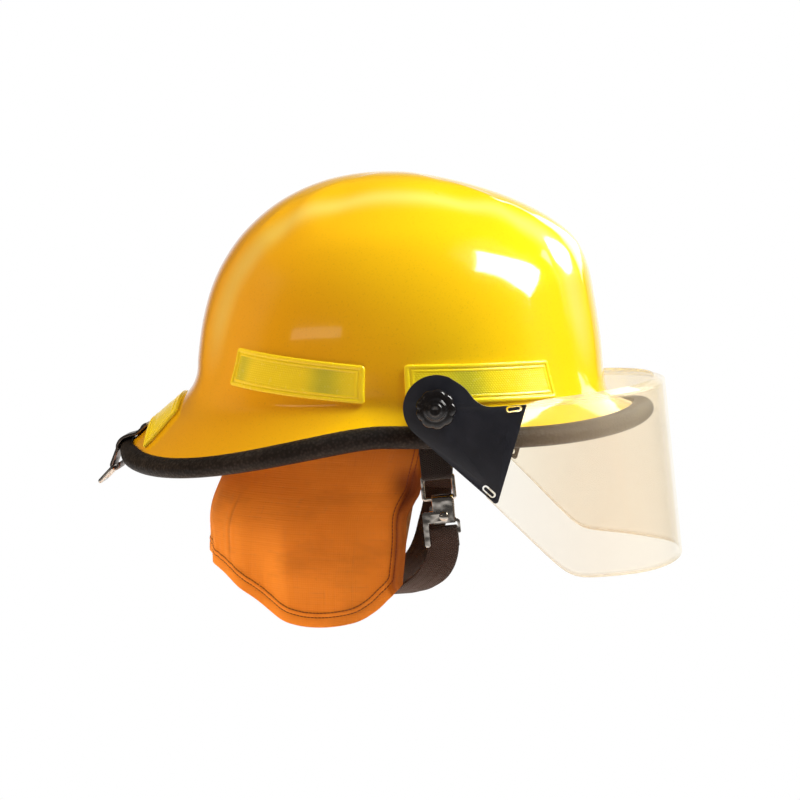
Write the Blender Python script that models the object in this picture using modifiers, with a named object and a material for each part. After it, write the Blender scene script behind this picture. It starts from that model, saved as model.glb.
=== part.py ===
# Firefighter helmet with a flip-up face shield, a neck curtain, a chin strap and an adjustable suspension.
# The helmet faces +X, +Y is the wearer's left and +Z is up.
# The origin is the middle of the head at brow level.
# Sizes are in millimetres here and become metres when a piece is placed.

import math

import bmesh
import bpy
from mathutils import Matrix, Vector
from mathutils.geometry import intersect_line_line_2d

MM = 0.001

# Clearances
FIT_GAP = 0.3
FORM_GAP = 0.6
BRACKET_CLEAR = 3.0

# Shell: reach and height of the plain dome from the crown to the brim edge, in front, beside and behind
SHELL_WALL = 3.0
CROWN_X = -3.6
CROWN_Z = 159.0
FRONT_PROFILE = [(36.6, 153.0), (72.0, 142.0), (96.0, 130.0), (110.5, 118.0), (118.5, 102.0), (123.0, 81.0),
                 (128.5, 54.0), (133.5, 33.0), (138.5, 20.5), (146.0, 15.5), (155.0, 12.5), (164.6, 10.5)]
SIDE_PROFILE = [(38.0, 153.0), (66.0, 140.0), (86.0, 123.0), (97.5, 105.0), (104.5, 86.0), (109.0, 64.0),
                (111.5, 44.0), (113.0, 30.4), (114.5, 18.8), (117.0, 11.5), (120.3, 5.6), (124.0, 0.2)]
REAR_PROFILE = [(43.8, 154.6), (74.5, 141.5), (97.0, 123.0), (110.0, 105.5), (118.5, 88.0), (124.5, 66.0),
                (129.0, 44.0), (133.0, 31.0), (141.0, 20.0), (156.0, 7.5), (171.0, -6.0), (186.0, -19.0)]
BRIM_EDGE = len(SIDE_PROFILE)
BRIM_ROOT = 8
FULLNESS_TOP = 2.0
FULLNESS_ROOT = 2.22
FULLNESS_FRONT_EDGE = 2.35
FULLNESS_REAR_EDGE = 1.85
FRONT_DROOP = 3.3
REAR_DROOP = 14.3
DROOP_ROUNDING = 0.25
RIDGE_HEIGHT = 7.0
RIDGE_TOP_HALF = 33.0
RIDGE_FOOT_HALF = 46.0
RIDGE_CENTRE_Z = 45.0
RIDGE_FADE_START = 6.0
RIDGE_FADE_END = 9.5
SHELL_COLUMNS = 48
SHELL_ROWS = [0.5, 0.9, 1.25, 1.7, 2.4, 3.2, 4.0, 4.9, 6.0, 7.0, 8.0, 8.4, 9.0, 9.8, 10.8, 12.0]

# Rubber edge trim
TRIM_LENGTH = 13.0
TRIM_THICK = 10.5
TRIM_OVERHANG = 4.0
TRIM_LIP = 1.1

# Reflective strips: ends in X, height of the middle line at each end
STRIP_HEIGHT = 24.5
STRIP_THICK = 1.0
STRIP_RIM = 0.5
STRIP_RIM_WIDTH = 3.0
REAR_STRIP = [(-100.0, 40.7), (-13.5, 31.9)]
FRONT_STRIP = [(12.5, 32.9), (103.0, 33.9)]
BACK_STRIP_HALF = 38.0
BACK_STRIP_HIGH_X = -144.0
BACK_STRIP_LOW_X = -167.0
BACK_STRIP_GAP = 0.9

# Impact liner
LINER_THICK = 12.0
LINER_GAP = 0.8
LINER_COLUMNS = 32
LINER_ROWS = [0.8, 1.6, 2.5, 3.5, 4.7, 6.0, 7.0, 7.7]

# Head suspension
HEAD_NAPE_X = -96.0
HEAD_BROW_X = 97.0
HEAD_HALF_WIDTH = 78.0
HEAD_CENTRE_X = HEAD_NAPE_X + HEAD_HALF_WIDTH
HEAD_FRONT_REACH = HEAD_BROW_X - HEAD_CENTRE_X
HEADBAND_LOW = -2.0
HEADBAND_HEIGHT = 32.0
HEADBAND_THICK = 2.0
HEADBAND_STEP = 7.6
HEADBAND_STEPS = 18
SWEATBAND_THICK = 3.0
SWEATBAND_HEIGHT = 36.0
SWEATBAND_STEPS = 11
CLIP_ANGLES = {"front_left": 42.0, "front_right": -42.0, "rear_left": 112.0, "rear_right": -112.0}
CLIP_WIDTH = 16.0
CLIP_THICK = 2.4
CLIP_GAP = 0.8
CLIP_TOP = 68.0
CLIP_BEND = 54.0
CLIP_FOOT = 12.0
CLIP_LAP = [0.3, 0.95]
CROWN_STRAP_WIDTH = 15.0
CROWN_STRAP_THICK = 1.5
CROWN_STRAP_TOP = 122.0
CROWN_STRAP_STACK = 3.2
CROWN_STRAP_SHOULDER = 0.42
CROWN_STRAP_BOW = 15.0
CROWN_STRAP_COUNT = 17

# Ratchet at the nape
RACK_THICK = 1.6
RACK_BACK = 4.6
RACK_TAIL = 52.0
RACK_NOSE = 10.0
RACK_LAP_STEP = 4.0
PINION_RADIUS = 5.0
PINION_TEETH = 10
TOOTH_UP = 0.7
TOOTH_DOWN = 0.95
TOOTH_SHARE = 0.38
TOOTH_SLOPE = 0.3
RATCHET_Z = 14.0
COVER_HALF_ANGLE = 22.0
COVER_WALL = 2.0
RATCHET_SHAFT_RADIUS = 3.0
RATCHET_KNOB_RADIUS = 16.0
RATCHET_KNOB_DEPTH = 6.5
RATCHET_KNOB_LOBES = 12

# Face shield and its pivots
PIVOT_X = 34.0
PIVOT_Z = 19.4
BRACKET_THICK = 3.0
BRACKET_ROUND = 21.0
BRACKET_EDGE = 0.5
BRACKET_TIP = (56.5, 2.8)
BRACKET_HEEL = (37.6, -59.4)
BRACKET_NECK = (31.0, 1.6)
SLOT_UPPER = (48.5, 0.2, 8.0)
SLOT_LOWER = (33.0, -52.0, -42.0)
SLOT_LENGTH = 10.0
SLOT_WIDTH = 4.2
LENS_THICK = 2.0
LENS_SPRING_X = 58.0
LENS_FULLNESS = 2.4
LENS_TOP_X = 176.8
LENS_LOW_X = 189.0
LENS_TOP_Z = 28.7
LENS_LOW_Z = -86.0
LENS_SIDE_DIP = 2.6
LENS_REAR_TOP = (80.0, 20.3)
LENS_REAR_LOW = (65.0, -36.4)
LENS_CORNER_X = 118.5
LENS_CORNER_BLEND = 4.0
LENS_LIP = 5.0
LENS_LIP_RISE = 2.2
LENS_LIP_START = 0.16
LENS_COLUMNS = 12
LENS_ROWS = 4
TAB_PROUD = 1.2
SPACER_RADIUS = 9.0
WASHER_RADIUS = 10.0
WASHER_THICK = 1.2
BOLT_RADIUS = 3.0
BOLT_HEAD_RADIUS = 8.0
BOLT_HEAD_THICK = 2.5
KNOB_RADIUS = 12.3
KNOB_SCALLOP = 0.55
KNOB_LOBES = 8
KNOB_HEIGHT = 6.5
KNOB_BOSS_RADIUS = 6.8
KNOB_BOSS_HEIGHT = 2.2
KNOB_HUB_RADIUS = 4.3
KNOB_HUB_HEIGHT = 1.4
KNOB_BORE_DEPTH = 5.0

# Neck and ear curtain
CURTAIN_THICK = 2.4
CURTAIN_HEM = 0.6
CURTAIN_TOP = 46.0
CURTAIN_GAP = 0.9
CURTAIN_REACH = 117.0
CURTAIN_HALF_WIDTH = 115.0
CURTAIN_BEND = 36.0
CURTAIN_DROP = 130.0
CURTAIN_FRONT_EDGE = [(-94.0, 9.5), (-83.0, 11.1), (-62.0, 11.8), (-53.0, 15.3), (-40.0, 20.5),
                      (0.0, 28.0), (46.0, 30.0)]
CURTAIN_LEFT_TUCK = 14.0  # the wearer's left front edge hangs this much further back
CURTAIN_HEMLINE = [(0.0, -96.0), (0.06, -113.0), (0.124, -121.0), (0.258, -125.3), (0.378, -122.9),
                   (0.53, -109.5), (0.7, -97.0), (0.9, -87.0), (1.0, -85.5)]
CURTAIN_SIDE_FLARE = 4.0
CURTAIN_REAR_FLARE = 14.5
CURTAIN_FLARE_FALL = (0.43, 0.82)
CURTAIN_CROWDING = 1.4
CURTAIN_FOLD = 2.4
CURTAIN_FOLDS = 9.0
CURTAIN_COLUMNS = 44
CURTAIN_ROWS = 8

# Chin strap and its hardware
STRAP_WIDTH = 19.0
STRAP_THICK = 1.8
STRAP_ABOVE_BOLT = 11.0
STRAP_LEAN = 2.5
STRAP_LAP = 15.0
RING_X = {"right": 32.0, "left": 20.0}
RING_TILT = {"right": 6.0, "left": -3.0}
RING_Z = -25.3
RING_WIRE = 1.25
RING_HALF_WIDTH = 11.3
RING_HEIGHT = 17.0
RING_CORNER = 1.8
HOOK_THICK = 1.8
HOOK_WIDTH = 13.0
HOOK_ACROSS = 2.0
HOOK_END = 31.5
HOOK_LIP = 5.0
FRAME_THICK = 1.6
FRAME_TOP = 20.5
FRAME_NECK_HALF = 7.0
FRAME_SHOULDER = 28.5
FRAME_HALF_WIDTH = 11.6
FRAME_END = 38.6
WINDOW_TOP = 31.3
WINDOW_END = 36.0
WINDOW_HALF_WIDTH = 9.9
LEVER_THICK = 1.0
LEVER_HUB = 3.6
LEVER_ARM = 11.7
LEVER_END = 45.0
LEVER_WIDTH = 3.4
SNAP_RIVET_DOWN = 27.0
RIVET_RADIUS = 1.5
RIVET_HEAD = 3.0
RIVET_HEAD_THICK = 1.2
CHIN_TAIL = 47.0
CHIN_STRAIGHT = 41.0
CHIN_ROUTE = [(36.5, -102.0, -72.5), (34.0, -99.5, -82.0), (29.0, -95.0, -90.0), (22.0, -88.5, -96.5),
              (12.5, -79.0, -102.5), (3.5, -62.0, -107.5), (-3.0, -38.0, -110.5), (-4.0, 0.0, -111.5),
              (0.5, 40.0, -108.5), (5.5, 62.0, -104.0), (10.0, 75.0, -98.0), (13.0, 83.0, -90.0),
              (15.0, 88.5, -81.0), (17.0, 93.5, -72.5), (18.2, 98.0, -65.0)]

# Rear hanger
HANGER_WIDTH = 22.0
HANGER_THICK = 1.2
HANGER_START = 10.87
HANGER_RIVET = 11.1
HANGER_KNUCKLE = (-8.5, -13.0)
HANGER_WIRE = 1.5
HANGER_RING_HALF = 13.6
HANGER_RING_REACH = 17.0
HANGER_RING_ANGLE = 227.0
HANGER_RING_CORNER = 5.0


def clear_scene():
    for item in list(bpy.data.objects):
        bpy.data.objects.remove(item, do_unlink=True)


def new_collection(name):
    group = bpy.data.collections.new(name)
    bpy.context.scene.collection.children.link(group)
    return group


clear_scene()
PARTS = new_collection("firefighter_helmet")
CUTTERS = new_collection("helmet_cutters")


def material(name, colour, roughness, metallic=0.0, alpha=1.0):
    look = bpy.data.materials.new(name)
    look.use_nodes = True
    shader = look.node_tree.nodes["Principled BSDF"]
    shader.inputs["Base Color"].default_value = (*colour, 1.0)
    shader.inputs["Roughness"].default_value = roughness
    shader.inputs["Metallic"].default_value = metallic
    shader.inputs["Alpha"].default_value = alpha
    return look


def smooth_step(low, high, value):
    share = min(max((value - low) / (high - low), 0.0), 1.0)
    return share * share * (3.0 - 2.0 * share)


def catmull(points, share):
    """A point between the second and third of four points, on a centripetal curve through them."""
    knots = [0.0]
    for near, far in zip(points, points[1:]):
        knots.append(knots[-1] + math.sqrt(max((far - near).length, 1e-6)))
    place = knots[1] + (knots[2] - knots[1]) * share

    def mix(a, b, low, high):
        return a * ((high - place) / (high - low)) + b * ((place - low) / (high - low))

    firsts = [mix(points[i], points[i + 1], knots[i], knots[i + 1]) for i in range(3)]
    seconds = [mix(firsts[i], firsts[i + 1], knots[i], knots[i + 2]) for i in range(2)]
    return mix(seconds[0], seconds[1], knots[1], knots[2])


def smooth_at(points, share):
    """The point at a share of the way along a smooth curve through points."""
    spans = len(points) - 1
    place = min(max(share, 0.0), 1.0) * spans
    k = min(int(place), spans - 1)
    padded = [points[0] * 2 - points[1]] + points + [points[-1] * 2 - points[-2]]
    return catmull(padded[k:k + 4], place - k)


def smooth_route(points, count):
    points = [Vector(point) for point in points]
    return [smooth_at(points, i / (count - 1)) for i in range(count)]


def value_at(table, key):
    """Read a table of (key, value) pairs in rising order, on a smooth curve through them."""
    key = min(max(key, table[0][0]), table[-1][0])
    k = next(i for i in range(1, len(table)) if key <= table[i][0])

    def slope(i):
        low, high = table[max(i - 1, 0)], table[min(i + 1, len(table) - 1)]
        return (high[1] - low[1]) / (high[0] - low[0])

    (low, first), (high, last) = table[k - 1], table[k]
    span = high - low
    share = (key - low) / span
    rise = smooth_step(0.0, 1.0, share)
    bend = share * (1.0 - share) * span
    return first + (last - first) * rise + bend * (slope(k - 1) * (1.0 - share) - slope(k) * share)


# The dome is a stack of stations, each a rounded oval from its front, side and rear points
def fullness(k, front):
    edge = FULLNESS_FRONT_EDGE if front else FULLNESS_REAR_EDGE
    if k <= BRIM_ROOT:
        return FULLNESS_TOP + (FULLNESS_ROOT - FULLNESS_TOP) * k / BRIM_ROOT
    return FULLNESS_ROOT + (edge - FULLNESS_ROOT) * (k - BRIM_ROOT) / (BRIM_EDGE - BRIM_ROOT)


def droop(phi):
    wave = math.sqrt(math.sin(2 * phi) ** 2 + DROOP_ROUNDING ** 2) - DROOP_ROUNDING
    return wave / (math.sqrt(1 + DROOP_ROUNDING ** 2) - DROOP_ROUNDING)


def ridge_offset(point, k):
    across = 1.0 - smooth_step(RIDGE_TOP_HALF, RIDGE_FOOT_HALF, abs(point.y))
    along = 1.0 - smooth_step(RIDGE_FADE_START, RIDGE_FADE_END, k)
    outward = (point - Vector((CROWN_X, point.y, RIDGE_CENTRE_Z))).normalized()
    return outward * (RIDGE_HEIGHT * across * along)


def station(k, phi, ridge):
    if k < 0:
        return station(-k, phi + math.pi, ridge)
    if k > BRIM_EDGE:
        return station(BRIM_EDGE, phi, ridge) * 2 - station(2 * BRIM_EDGE - k, phi, ridge)
    if k == 0:
        point = Vector((CROWN_X, 0.0, CROWN_Z))
    else:
        c, s = math.cos(phi), math.sin(phi)
        front = c >= 0
        end_x, end_z = FRONT_PROFILE[k - 1] if front else REAR_PROFILE[k - 1]
        side_y, side_z = SIDE_PROFILE[k - 1]
        power = 2.0 / fullness(k, front)
        sag = FRONT_DROOP if front else REAR_DROOP
        x = math.copysign(abs(c) ** power * end_x, c)
        y = math.copysign(abs(s) ** power * side_y, s)
        z = side_z + (end_z - side_z) * c * c - sag * droop(phi) * smooth_step(BRIM_ROOT, BRIM_EDGE, k)
        point = Vector((x, y, z))
    if ridge:
        point = point + ridge_offset(point, k)
    return point


def dome(phi, place, ridge=True):
    """A point of the shell's outer skin: phi goes round from the front, place runs down the stations."""
    k = min(int(place), BRIM_EDGE - 1)
    return catmull([station(i, phi, ridge) for i in range(k - 1, k + 3)], place - k)


def dome_normal(phi, place, ridge=True):
    if place < 0.05:
        return Vector((0.0, 0.0, 1.0))
    step = 0.01
    down = dome(phi, min(place + step, BRIM_EDGE), ridge) - dome(phi, place - step, ridge)
    around = dome(phi + step, place, ridge) - dome(phi - step, place, ridge)
    return down.cross(around).normalized()


def dome_off(phi, place, distance, ridge=True):
    return dome(phi, place, ridge) + dome_normal(phi, place, ridge) * distance


def bisect(low, high, too_far):
    for _ in range(26):
        middle = (low + high) / 2
        if too_far(middle):
            high = middle
        else:
            low = middle
    return (low + high) / 2


def place_at_height(phi, z):
    return bisect(2.0, BRIM_EDGE, lambda place: dome(phi, place, False).z < z)


def phi_at(x, z):
    """The angle on the wearer's left where the plain wall at height z has this x."""
    return bisect(0.05, math.pi - 0.05, lambda phi: dome(phi, place_at_height(phi, z), False).x < x)


def wall_y(x, z, inset=0.0):
    """Half-width of the plain wall at x and z, or of a surface that lies inside it."""
    phi = phi_at(x, z)
    place = place_at_height(phi, z)
    return dome(phi, place, False).y - inset / dome_normal(phi, place, False).y


def inner_spot(phi, z, inset):
    """A point at height z on the surface that lies an inset inside the plain dome."""
    def too_low(place):
        return dome_off(phi, place, -inset, False).z < z

    spot = dome_off(phi, bisect(2.0, BRIM_ROOT, too_low), -inset, False)
    return Vector((spot.x, spot.y, z))


# Making pieces
def mesh_of_rings(name, rings, closed_ring=True, closed_path=False, caps=True, poles=(None, None)):
    """Skin rings of points one after another; ends are capped, drawn to a pole, or left open."""
    shape = bmesh.new()
    rows = [[shape.verts.new(point) for point in ring] for ring in rings]
    if closed_path:
        rows.append(rows[0])
    for near, far in zip(rows, rows[1:]):
        count = len(near)
        for i in range(count if closed_ring else count - 1):
            j = (i + 1) % count
            shape.faces.new((near[i], near[j], far[j], far[i]))
    for pole, row in zip(poles, (rows[0], rows[-1])):
        if pole is not None:
            tip = shape.verts.new(pole)
            for i, vert in enumerate(row):
                shape.faces.new((vert, row[(i + 1) % len(row)], tip))
        elif caps and not closed_path:
            shape.faces.new(row)
    bmesh.ops.recalc_face_normals(shape, faces=shape.faces[:])
    data = bpy.data.meshes.new(name)
    shape.to_mesh(data)
    shape.free()
    return data


def place_part(name, data, look, origin=(0.0, 0.0, 0.0), parent=None, group=PARTS):
    """Link a mesh made in millimetres, with its own origin at the given point."""
    data.transform(Matrix.Scale(MM, 4) @ Matrix.Translation(-Vector(origin)))
    data.materials.append(look)
    data.shade_smooth()
    data.set_sharp_from_angle(angle=math.radians(32.0))
    item = bpy.data.objects.new(name, data)
    item.location = Vector(origin) * MM
    group.objects.link(item)
    if parent is not None:
        item.parent = parent
        item.location = Vector(origin) * MM - parent.location
    return item


def pivot_empty(name, origin):
    empty = bpy.data.objects.new(name, None)
    empty.location = Vector(origin) * MM
    PARTS.objects.link(empty)
    return empty


def turned(name, profile, centre, direction, look, ring=False, steps=16):
    """Turn (radius, height) points, listed down the outer side, about a line through centre."""
    data = bpy.data.meshes.new(name)
    points = [(radius * MM, 0.0, height * MM) for radius, height in profile]
    edges = [(i, i + 1) for i in range(len(points) - 1)]
    if ring:
        edges.append((len(points) - 1, 0))
    data.from_pydata(points, edges, [])
    data.materials.append(look)
    item = bpy.data.objects.new(name, data)
    item.location = Vector(centre) * MM
    item.rotation_euler = Vector(direction).to_track_quat("Z", "Y").to_euler()
    PARTS.objects.link(item)
    screw = item.modifiers.new("turn", "SCREW")
    screw.steps = screw.render_steps = steps
    screw.use_merge_vertices = True
    screw.merge_threshold = 0.00001
    screw.use_smooth_shade = True
    return item


def wire(name, points, radius, look, origin):
    """A closed loop of round wire through points."""
    curve = bpy.data.curves.new(name, "CURVE")
    curve.dimensions = "3D"
    curve.bevel_depth = radius * MM
    curve.bevel_resolution = 1
    spline = curve.splines.new("POLY")
    spline.points.add(len(points) - 1)
    for knot, point in zip(spline.points, points):
        knot.co = (*((Vector(point) - Vector(origin)) * MM), 1.0)
    spline.use_cyclic_u = True
    curve.materials.append(look)
    item = bpy.data.objects.new(name, curve)
    item.location = Vector(origin) * MM
    PARTS.objects.link(item)
    return item


def plate(name, outlines, thick, matrix, look, edge=0.0):
    """A flat plate from an outline and its holes, centred on the plane of matrix, with its edges broken."""
    curve = bpy.data.curves.new(name, "CURVE")
    curve.dimensions = "2D"
    curve.fill_mode = "BOTH"
    curve.extrude = thick / 2 * MM
    for outline in outlines:
        spline = curve.splines.new("POLY")
        spline.points.add(len(outline) - 1)
        for knot, point in zip(spline.points, outline):
            knot.co = (point[0] * MM, point[1] * MM, 0.0, 1.0)
        spline.use_cyclic_u = True
    guide = bpy.data.objects.new(name + "_outline", curve)
    CUTTERS.objects.link(guide)
    depsgraph = bpy.context.evaluated_depsgraph_get()
    data = bpy.data.meshes.new_from_object(guide.evaluated_get(depsgraph))
    bpy.data.objects.remove(guide, do_unlink=True)
    shape = bmesh.new()
    shape.from_mesh(data)
    bmesh.ops.remove_doubles(shape, verts=shape.verts[:], dist=0.000001)
    bmesh.ops.recalc_face_normals(shape, faces=shape.faces[:])
    shape.to_mesh(data)
    shape.free()
    data.materials.append(look)
    item = bpy.data.objects.new(name, data)
    item.matrix_world = matrix
    PARTS.objects.link(item)
    if edge:
        bevel = item.modifiers.new("edge", "BEVEL")
        bevel.width = edge * MM
        bevel.limit_method = "ANGLE"
        bevel.angle_limit = math.radians(60.0)
    return item


def cylinder_cutter(name, centre, direction, radius, length, sides=24):
    shape = bmesh.new()
    bmesh.ops.create_cone(shape, cap_ends=True, segments=sides, radius1=radius * MM, radius2=radius * MM,
                          depth=length * MM)
    data = bpy.data.meshes.new(name)
    shape.to_mesh(data)
    shape.free()
    item = bpy.data.objects.new(name, data)
    item.location = Vector(centre) * MM
    item.rotation_euler = Vector(direction).to_track_quat("Z", "Y").to_euler()
    item.hide_render = True
    item.display_type = "WIRE"
    CUTTERS.objects.link(item)
    return item


def combine(item, other, operation):
    boolean = item.modifiers.new(operation.lower(), "BOOLEAN")
    boolean.operation = operation
    boolean.object = other


def ribbon(route, across, width, thick):
    """Rings of a flat strap along a route, with its width held along one direction or a list of them."""
    rings = []
    for i, point in enumerate(route):
        ahead = (route[min(i + 1, len(route) - 1)] - route[max(i - 1, 0)]).normalized()
        side = across[i] if isinstance(across, list) else across
        side = (side - ahead * side.dot(ahead)).normalized()
        up = ahead.cross(side)
        corners = [(-1, -1), (1, -1), (1, 1), (-1, 1)]
        rings.append([point + side * (a * width / 2) + up * (b * thick / 2) for a, b in corners])
    return rings


def arc(centre, radius, start, end, count):
    """Points of a flat arc, angles in degrees."""
    angles = [math.radians(start + (end - start) * i / (count - 1)) for i in range(count)]
    return [(centre[0] + radius * math.cos(a), centre[1] + radius * math.sin(a)) for a in angles]


def slot_outline(centre, length, width, turn):
    """A slot with round ends, turned from level by an angle in degrees."""
    half = (length - width) / 2
    lean = math.radians(turn)
    reach = (half * math.cos(lean), half * math.sin(lean))
    head = arc((centre[0] + reach[0], centre[1] + reach[1]), width / 2, turn + 90, turn - 90, 4)
    tail = arc((centre[0] - reach[0], centre[1] - reach[1]), width / 2, turn - 90, turn - 270, 4)
    return head + tail


def rounded_loop(corners, radius, count=3):
    """A closed flat outline with each corner rounded, corners listed counter-clockwise."""
    points = []
    for i, corner in enumerate(corners):
        corner = Vector(corner)
        back = (Vector(corners[i - 1]) - corner).normalized()
        ahead = (Vector(corners[(i + 1) % len(corners)]) - corner).normalized()
        half = back.angle(ahead) / 2
        centre = corner + (back + ahead).normalized() * (radius / math.sin(half))
        first = corner + back * (radius / math.tan(half)) - centre
        last = corner + ahead * (radius / math.tan(half)) - centre
        for step in range(count):
            spoke = first.lerp(last, step / (count - 1)).normalized() * radius
            points.append(tuple(centre + spoke))
    return points


def lobed(name, rings, lobes, centre, direction, look, sides):
    """A knob: rings of (height, radius, scallop depth) along a line through centre, both ends closed."""
    turn = Vector(direction).to_track_quat("Z", "Y").to_matrix()
    loops = []
    for height, radius, scallop in rings:
        loop = []
        for i in range(sides):
            angle = 2 * math.pi * i / sides
            reach = radius + scallop * math.cos(lobes * angle)
            spot = Vector((reach * math.cos(angle), reach * math.sin(angle), height))
            loop.append(Vector(centre) + turn @ spot)
        loops.append(loop)
    return place_part(name, mesh_of_rings(name, loops), look, centre)


YELLOW = material("shell_yellow", (0.95, 0.60, 0.01), 0.12)
RUBBER = material("trim_rubber", (0.03, 0.022, 0.018), 0.7)
LIME = material("strip_lime", (0.70, 0.55, 0.03), 0.3)
FOAM = material("liner_foam", (0.03, 0.03, 0.032), 0.9)
NYLON = material("suspension_nylon", (0.03, 0.03, 0.032), 0.5)
SWEAT = material("sweatband_cloth", (0.05, 0.045, 0.04), 0.9)
WEBBING = material("strap_webbing", (0.06, 0.035, 0.028), 0.85)
CLEAR = material("shield_clear", (0.98, 0.93, 0.84), 0.05, alpha=0.25)
BLACK = material("bracket_black", (0.03, 0.032, 0.036), 0.45)
GLOSS = material("knob_black", (0.015, 0.015, 0.017), 0.2)
STEEL = material("hardware_steel", (0.55, 0.52, 0.48), 0.3, 1.0)
CLOTH = material("curtain_orange", (0.52, 0.15, 0.022), 0.9)

SHELL_ANGLES = [2 * math.pi * j / SHELL_COLUMNS for j in range(SHELL_COLUMNS)]
CHEEKS = {"right": -1.0, "left": 1.0}


# Edge trim: a U-channel of rubber that grips the brim edge
def trim_frame(phi):
    """Middle of the trim's section, the way the brim runs outward there, and the brim's outward normal."""
    edge = dome(phi, BRIM_EDGE)
    outward = (edge - dome(phi, SHELL_ROWS[-2])).normalized()
    around = dome(phi + 0.01, BRIM_EDGE) - dome(phi - 0.01, BRIM_EDGE)
    normal = outward.cross(around).normalized()
    middle = edge - normal * (SHELL_WALL / 2) + outward * (TRIM_OVERHANG - TRIM_LENGTH / 2)
    return middle, outward, normal


def trim_section(phi):
    middle, outward, normal = trim_frame(phi)
    slot = SHELL_WALL / 2 + FIT_GAP
    mouth = math.asin((slot + TRIM_LIP) / (TRIM_THICK / 2))
    bottom = TRIM_LENGTH / 2 - TRIM_OVERHANG + FIT_GAP
    spots = []
    for i in range(9):
        angle = (math.pi - mouth) * (1 - i / 4)
        spots.append((TRIM_LENGTH / 2 * math.cos(angle), TRIM_THICK / 2 * math.sin(angle)))
    inner = spots[0][0]
    spots += [(inner, -slot), (bottom, -slot), (bottom, slot), (inner, slot)]
    return [middle + outward * p + normal * q for p, q in spots]


TRIM_RINGS = [trim_section(phi) for phi in SHELL_ANGLES]
TRIM_HALF_WIDTH = max(point.y for ring in TRIM_RINGS for point in ring)
BRACKET_Y = TRIM_HALF_WIDTH + BRACKET_CLEAR
HANGER_PLACE = dome_off(math.pi, HANGER_RIVET, 0.0)
HANGER_NORMAL = dome_normal(math.pi, HANGER_RIVET)
STRAP_FRONT_X = PIVOT_X + STRAP_WIDTH / 2 + STRAP_LEAN
STRAP_Y = wall_y(STRAP_FRONT_X, PIVOT_Z + STRAP_ABOVE_BOLT, SHELL_WALL) - FORM_GAP - STRAP_THICK / 2


def make_shell():
    rings = [[dome(phi, place) for phi in SHELL_ANGLES] for place in SHELL_ROWS]
    pole = station(0, 0.0, True)
    data = mesh_of_rings("outer_shell", rings, caps=False, poles=(pole, None))
    shell = place_part("outer_shell", data, YELLOW)
    wall = shell.modifiers.new("wall", "SOLIDIFY")
    wall.thickness = SHELL_WALL * MM
    wall.offset = -1.0
    wall.use_even_offset = True
    combine(shell, PIVOT_HOLE, "DIFFERENCE")
    combine(shell, RIVET_HOLE, "DIFFERENCE")


def make_trim():
    data = mesh_of_rings("edge_trim", TRIM_RINGS, closed_path=True)
    place_part("edge_trim", data, RUBBER)


# Reflective strips follow the wall, with a raised rim round a lower field
def strip_section(spots, field, gap):
    rim = STRIP_THICK + STRIP_RIM
    top = [rim, rim, STRIP_THICK, STRIP_THICK, rim, rim] if field else [rim] * 6
    outer = [dome_off(phi, place, gap + lift, False) for (phi, place), lift in zip(spots, top)]
    inner = [dome_off(phi, place, gap, False) for phi, place in spots]
    return outer + inner[::-1]


def rim_shares(length):
    rim = STRIP_RIM_WIDTH / length
    step = 0.6 / length
    return [0.0, rim, rim + step, 1.0 - rim - step, 1.0 - rim, 1.0]


def strip_columns(length, count):
    rim = STRIP_RIM_WIDTH / length
    step = 0.6 / length
    shares = [(0.0, False), (rim, False), (rim + step, True)]
    inner = 1.0 - 2 * (rim + step)
    shares += [(rim + step + inner * i / count, True) for i in range(1, count)]
    return shares + [(1.0 - rim - step, True), (1.0 - rim, False), (1.0, False)]


def make_side_strip(name, ends, mirrored):
    (x0, z0), (x1, z1) = ends
    phi0, phi1 = phi_at(x0, z0), phi_at(x1, z1)
    rings = []
    for share, field in strip_columns(abs(x1 - x0), 7):
        phi = phi0 + (phi1 - phi0) * share
        middle = z0 + (z1 - z0) * share
        heights = [middle + STRIP_HEIGHT * (0.5 - part) for part in rim_shares(STRIP_HEIGHT)]
        rings.append(strip_section([(phi, place_at_height(phi, z)) for z in heights], field, FORM_GAP))
    if mirrored:
        rings = [[Vector((p.x, -p.y, p.z)) for p in ring] for ring in rings]
    strip = place_part(name, mesh_of_rings(name, rings), LIME)
    combine(strip, SPACER_HOLE, "DIFFERENCE")


def brim_place(x, y):
    """Angle and place, behind on the wearer's left, of the skin over a spot in plan."""
    def phi_for(place):
        return bisect(math.pi / 2, math.pi, lambda phi: dome(phi, place, False).y < y)

    place = bisect(BRIM_ROOT - 1, BRIM_EDGE, lambda place: dome(phi_for(place), place, False).x < x)
    return phi_for(place), place


def make_back_strip():
    rings = []
    depth = BACK_STRIP_HIGH_X - BACK_STRIP_LOW_X
    for share, field in strip_columns(2 * BACK_STRIP_HALF, 6):
        y = BACK_STRIP_HALF * (2 * share - 1)
        spots = [brim_place(BACK_STRIP_HIGH_X - depth * part, abs(y)) for part in rim_shares(depth)]
        ring = strip_section(spots, field, BACK_STRIP_GAP)
        rings.append([Vector((point.x, math.copysign(point.y, y), point.z)) for point in ring])
    place_part("back_strip", mesh_of_rings("back_strip", rings), LIME)


def make_liner():
    inset = SHELL_WALL + LINER_GAP
    angles = [2 * math.pi * j / LINER_COLUMNS for j in range(LINER_COLUMNS)]
    rings = [[dome_off(phi, place, -inset, False) for phi in angles] for place in LINER_ROWS]
    pole = station(0, 0.0, False) - Vector((0.0, 0.0, inset))
    data = mesh_of_rings("impact_liner", rings, caps=False, poles=(pole, None))
    liner = place_part("impact_liner", data, FOAM)
    wall = liner.modifiers.new("wall", "SOLIDIFY")
    wall.thickness = LINER_THICK * MM
    wall.offset = -1.0
    wall.use_even_offset = True


LINER_INSET = SHELL_WALL + LINER_GAP + LINER_THICK


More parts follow.
